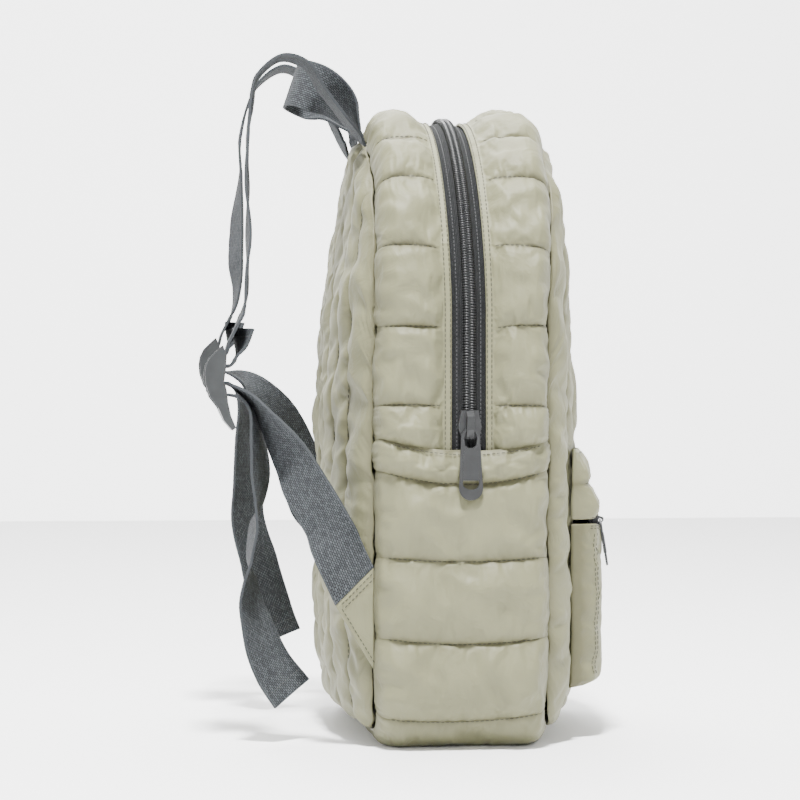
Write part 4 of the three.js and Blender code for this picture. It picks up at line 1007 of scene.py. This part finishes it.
# Tabs: small folded triangles of the bag's cloth with stitched edges
def tabPiece(side, sign):
    turn = tab["turn"][side]
    tip = (math.sin(tab["slant"]) * tabEdge, tab["top"] - math.cos(tab["slant"]) * tabEdge)
    corners = [(0, tab["foot"]), (0, tab["top"]), tip]
    bm = bmesh.new()
    bm.faces.new([bm.verts.new(Vector(turnedOut((0, y, z), sign, turn)) * mm) for y, z in corners])
    bmesh.ops.subdivide_edges(bm, edges=bm.edges, cuts=14, use_grid_fill=True)
    bmesh.ops.triangulate(bm, faces=bm.faces)
    bmesh.ops.join_triangles(bm, faces=bm.faces, angle_face_threshold=3.1, angle_shape_threshold=3.1)
    outward = Vector(turnedOut((1, 0, 0), sign, turn)) * sign
    for v in bm.verts:
        along = v.co.z / mm
        flutter = softNoise(np.array(along / 9.0), np.array(v.co.length / mm / 7), 71)
        v.co += outward * mm * 0.5 * float(flutter)
    bmesh.ops.translate(bm, vec=Vector((sign * web["tab"], seamY + bag["seamGap"], 0)) * mm, verts=bm.verts)
    bmesh.ops.recalc_face_normals(bm, faces=bm.faces)
    mesh = bpy.data.meshes.new("side_tab_" + side)
    bm.to_mesh(mesh)
    bm.free()
    for f in mesh.polygons:
        f.use_smooth = True
    piece = linkObject("side_tab_" + side, mesh)
    addModifier(piece, "SOLIDIFY", "wall", thickness=tab["thickness"] * mm, offset=0.0)
    addModifier(piece, "BEVEL", "edge", width=0.8 * mm, segments=3, limit_method="ANGLE",
                angle_limit=math.radians(50))
    dress(piece, quiltCloth, replaced=["tab_" + side])
    # stitches inside the two free edges and across the tab
    centre = np.mean(corners, axis=0)
    shift = np.array([sign * web["tab"], seamY + bag["seamGap"], 0])
    foot, top = corners[:2]
    for a, b, inset in ((top, tip, 2.0), (top, tip, 4.6), (tip, foot, 2.4)):
        a, b = np.array(a), np.array(b)
        direction = (b - a) / np.linalg.norm(b - a)
        inward = np.array([-direction[1], direction[0]])
        if np.dot(centre - a, inward) < 0:
            inward = -inward
        ends = [a + inward * inset + direction * 3, b + inward * inset - direction * 3]
        for face in (-1, 1):
            off = face * sign * tab["thickness"] / 2
            route = [ends[0] + (ends[1] - ends[0]) * t for t in np.linspace(0, 1, 8)]
            spots = [turnedOut((off, *spot), sign, turn) + shift for spot in route]
            n = turnedOut((face * sign, 0, 0), sign, turn)
            sewLine("quilt", spots, [n] * len(spots), pitch=2.9, length=2.0)


for side, sign in (("left", -1), ("right", 1)):
    tabPiece(side, sign)


# Front pocket: a pouch, the quilted band over its zip, the zip between them
pocket = {
    "half": 80, "bottom": 31, "top": 175, "zip": 131, "depth": 15.5, "wall": 2.5, "gap": 6, "edge": 7,
    "channel": 26.5, "slider": -58, "closing": 1.8, "front": 0.86, "toothPitch": 1.15, "toothStart": -53,
    "toothRun": 122, "toothRadius": 0.36,
    "band": [(0, 0.86), (0.12, 0.97), (0.22, 1), (0.36, 0.8), (0.46, 0.62), (0.56, 0.6), (0.74, 0.5),
             (0.88, 0.26), (0.96, 0.16), (1, 0)],
    "tooth": [(2.1, 0.35), (2.0, 1.1), (1.1, 1.55), (0.2, 1.4), (-0.3, 0.9)],
    "toothShares": (0.8, 1, 1.05, 1.1, 0.9),
}
crowdedEnds = np.array([1, 0.9985, 0.995, 0.99, 0.983, 0.975, 0.965, 0.953])
pocketShares = np.concatenate([-crowdedEnds, np.linspace(-0.94, 0.94, 72), crowdedEnds[::-1]])
pocketAcross = pocketShares * pocket["half"]


def onPanel(x, z):
    return seamY + bag["wall"] + panelRise(x, z, "front", bag["frontBulge"]) + 2 * bag["seamGap"]


def edgeRise(distance, reach):
    near = np.clip(distance / reach, 0, 1)
    return np.sqrt(1 - (1 - near) ** 2)


def lipClosing(x):
    # the zip's two lips stand apart at the slider and close in beside it
    return pocket["closing"] * smooth(5, 13, np.abs(x - pocket["slider"]))


def pocketSheet(name, points, crease_shade, held, node):
    piece = gridPiece(name, points, trueUv(points), bagMiddle, {"crease_shade": crease_shade, "hold": 1.0 * held})
    puffed(piece)
    walled(piece, bag["wall"])
    subdivided(piece)
    dress(piece, quiltCloth, replaced=[node])
    return gridNormals(points, bagMiddle)


def pocketPouch():
    up = np.unique(np.concatenate([
        [0, 0.002, 0.006, 0.012, 0.02, 0.03, 0.042, 0.056], np.linspace(0.075, 0.97, 44), [0.985, 1]]))
    X, U = np.meshgrid(pocketAcross, up, indexing="ij")
    top = pocket["zip"] - pocket["gap"] / 2 + lipClosing(X)
    Z = pocket["bottom"] + (top - pocket["bottom"]) * U
    beside = pocket["half"] - np.abs(X)
    below = Z - pocket["bottom"]
    body = edgeRise(beside, pocket["edge"]) * edgeRise(below, pocket["edge"])
    channel = pocket["channel"]
    channels = np.abs(np.sin(math.pi * X / channel))
    lineNear = np.abs((X + channel / 2) % channel - channel / 2)
    soft = 0.9 * softNoise(X / 15, Z / 24, 81) + 0.5 * softNoise(X / 7, Z / 9, 82)
    pleat = np.exp(-np.minimum(beside, below) / 8) * 1.3 * ridges((X * 0.6 + Z) / 8, (X - Z) / 30, 83)
    topFold = np.exp(-(top - Z) / 9) * (1 - np.exp(-(top - Z) / 1.5)) * 0.9 * ridges(X / 7, Z / 20, 84)
    dip = 2.2 * (1 - channels ** 0.6) + 0.8 * np.exp(-(lineNear / 1.5) ** 2)
    swell = soft + pleat + topFold - dip * smooth(0, 10, top - Z)
    depth = pocket["depth"] * body + smooth(0.2, 0.9, body) * swell
    points = np.stack([X, -(onPanel(X, Z) + np.maximum(depth, 0)), Z], -1)
    # painted shade mark: darker along the channel lines and at the sides and bottom of the pouch
    crease_shade = np.exp(-lineNear / 2.2) * 0.7 + 0.5 * np.exp(-beside / 2) + 0.5 * np.exp(-below / 2)
    held = (lineNear < 0.5) | (beside < 0.5) | (below < 0.5) | (top - Z < 3.2)
    normals = pocketSheet("pocket_pouch", points, np.clip(crease_shade, 0, 1), held, "front_pocket")
    for j in (-2, -3):
        sewLine("pocket", points[6:-6, j], normals[6:-6, j], pitch=3.0, length=2.1)
    for k in (-2, -1, 0, 1, 2):
        i = int(np.argmin(np.abs(pocketAcross - channel * k)))
        sewLine("pocket", points[i, 9:-3], normals[i, 9:-3], pitch=3.2, length=2.2, lift=0.1)
    for inset in (4.5, 7.0):
        i = int(np.argmin(np.abs(pocketAcross + pocket["half"] - inset)))
        for column in (i, -1 - i):
            sewLine("pocket", points[column, 8:-3], normals[column, 8:-3], pitch=3.0, length=2.1)


def pocketBand():
    up = np.unique(np.concatenate([
        np.linspace(0, 0.9, 38), [0.45, 0.455, 0.92, 0.94, 0.96, 0.975, 0.988, 1]]))
    X, U = np.meshgrid(pocketAcross, up, indexing="ij")
    low = pocket["zip"] + pocket["gap"] / 2 - lipClosing(X)
    Z = low + (pocket["top"] - low) * U
    beside = pocket["half"] - np.abs(X)
    outline, before, after = (np.interp(U + step, *zip(*pocket["band"])) for step in (0, -0.03, 0.03))
    smoothed = (outline + before + after) / 3
    lineNear = np.abs(U - 0.5) * (pocket["top"] - low)
    puff = np.where(lineNear < 12, -1.6 * np.exp(-(lineNear / 2.2) ** 2), 0)
    folds = np.exp(-lineNear / 6) * (1 - np.exp(-lineNear / 1.2)) * 1.5 * ridges(X / 6.5, U * 3, 91)
    folds += 0.9 * softNoise(X / 12, Z / 10, 92)
    sideRise = edgeRise(beside, pocket["edge"])
    depth = pocket["depth"] * smoothed * sideRise + bag["wall"] * (1 - outline)
    depth += smooth(0.15, 0.6, smoothed * sideRise) * (puff + folds)
    points = np.stack([X, -(onPanel(X, Z) + np.maximum(depth, 0.05)), Z], -1)
    # painted shade mark: darker along the band's middle line and at its sides
    crease_shade = np.clip(0.8 * np.exp(-lineNear / 2.2) + 0.4 * np.exp(-beside / 2), 0, 1)
    held = (lineNear < 0.6) | (beside < 0.5) | (U < 0.04) | (U > 0.94)
    normals = pocketSheet("pocket_band_cloth", points, crease_shade, held, "pocket_band")
    for share in (0.03, 0.5, 0.95):
        j = int(np.argmin(np.abs(up - share)))
        sewLine("pocket", points[7:-7, j], normals[7:-7, j], pitch=3.0, length=2.1)


def pocketZip():
    out = pocket["depth"] * pocket["front"] - pocket["wall"] - 2 * bag["seamGap"]
    X, T = np.meshgrid(np.linspace(-0.88, 0.88, 90) * pocket["half"], np.linspace(-6, 6, 9), indexing="ij")
    Z = pocket["zip"] + T
    points = np.stack([X, -(onPanel(X, Z) + out), Z], -1)
    tape = gridPiece("pocket_zip_tape", points, trueUv(points), bagMiddle)
    walled(tape, 1)
    dress(tape, tapeCloth, replaced=["pocket_tape"])
    rods = []
    for k in range(int(pocket["toothRun"] / pocket["toothPitch"])):
        for sign in (-1, 1):
            x = pocket["toothStart"] + (k + (0.5 if sign > 0 else 0)) * pocket["toothPitch"]
            spots = []
            for off, rise in pocket["tooth"]:
                z = pocket["zip"] + sign * off
                spots.append((x, -float(onPanel(np.array(x), np.array(z)) + out + rise), z))
            rods.append((spots, pocket["toothShares"]))
    dress(rodPiece("pocket_zip_teeth", rods, pocket["toothRadius"]), coilPlastic,
          replaced=["pocket_coil"])


pocketPouch()
pocketBand()
pocketZip()
makeThreads("quilt_stitches", "quilt", sageThread)
makeThreads("panel_stitches", "panels", sageThread)
makeThreads("pocket_stitches", "pocket", sageThread)
makeThreads("tape_stitches", "tape", webThread)
makeThreads("web_stitches", "web", webThread)
print("pocket and stitches made")


# Room and camera, in metres
studio = {
    "size": 30, "backdrop": 2.6, "glow": 1.9, "world": 0.5, "aim": (0, 0, 0.2),
    "lights": [("key", (-0.75, 0.15, 2.2), 0.25, 195), ("fill", (-1.8, -0.4, 0.9), 1.0, 12),
               ("top", (1.4, 0.3, 2.4), 1.4, 80)],
}
view = {"turn": 6, "target": (0.0026, 0.0248, 0.2044), "distance": 1.525, "lens": 108.62, "sensor": 36}


def stagePlane(name, paper, x=0, turn=0):
    bm = bmesh.new()
    bmesh.ops.create_grid(bm, x_segments=1, y_segments=1, size=studio["size"])
    bmesh.ops.rotate(bm, cent=(0, 0, 0), matrix=Matrix.Rotation(math.radians(turn), 3, "Y"), verts=bm.verts)
    bmesh.ops.translate(bm, vec=(x, 0, 0), verts=bm.verts)
    mesh = bpy.data.meshes.new(name)
    bm.to_mesh(mesh)
    bm.free()
    material, nodes, links, shader = newMaterial(paper)
    shader.inputs["Base Color"].default_value = (0.9, 0.9, 0.9, 1)
    mesh.materials.append(material)
    linkObject(name, mesh)
    return shader


def makeStudio():
    floor = stagePlane("floor", "paleFloor")
    floor.inputs["Roughness"].default_value = 0.9
    backdrop = stagePlane("backdrop", "backdropPaper", studio["backdrop"], 90)
    backdrop.inputs["Emission Color"].default_value = (1, 1, 1, 1)
    backdrop.inputs["Emission Strength"].default_value = studio["glow"]
    world = bpy.data.worlds.new("studio")
    bpy.context.scene.world = world
    world.use_nodes = True
    world.node_tree.nodes["Background"].inputs["Color"].default_value = (1, 1, 1, 1)
    world.node_tree.nodes["Background"].inputs["Strength"].default_value = studio["world"]
    for name, place, size, power in studio["lights"]:
        data = bpy.data.lights.new(name, "AREA")
        data.size = size
        data.energy = power
        light = bpy.data.objects.new(name, data)
        bpy.context.scene.collection.objects.link(light)
        light.location = place
        light.rotation_mode = "QUATERNION"
        light.rotation_quaternion = (Vector(studio["aim"]) - Vector(place)).to_track_quat("-Z", "Y")


def makeCamera():
    turn = math.radians(view["turn"])
    forward = Vector((math.cos(turn), -math.sin(turn), 0))
    data = bpy.data.cameras.new("camera")
    data.lens = view["lens"]
    data.sensor_width = view["sensor"]
    data.clip_end = 50
    camera = bpy.data.objects.new("camera", data)
    bpy.context.scene.collection.objects.link(camera)
    camera.location = Vector(view["target"]) - forward * view["distance"]
    camera.rotation_mode = "QUATERNION"
    camera.rotation_quaternion = forward.to_track_quat("-Z", "Y")
    bpy.context.scene.camera = camera


makeStudio()
makeCamera()
print("scene made")
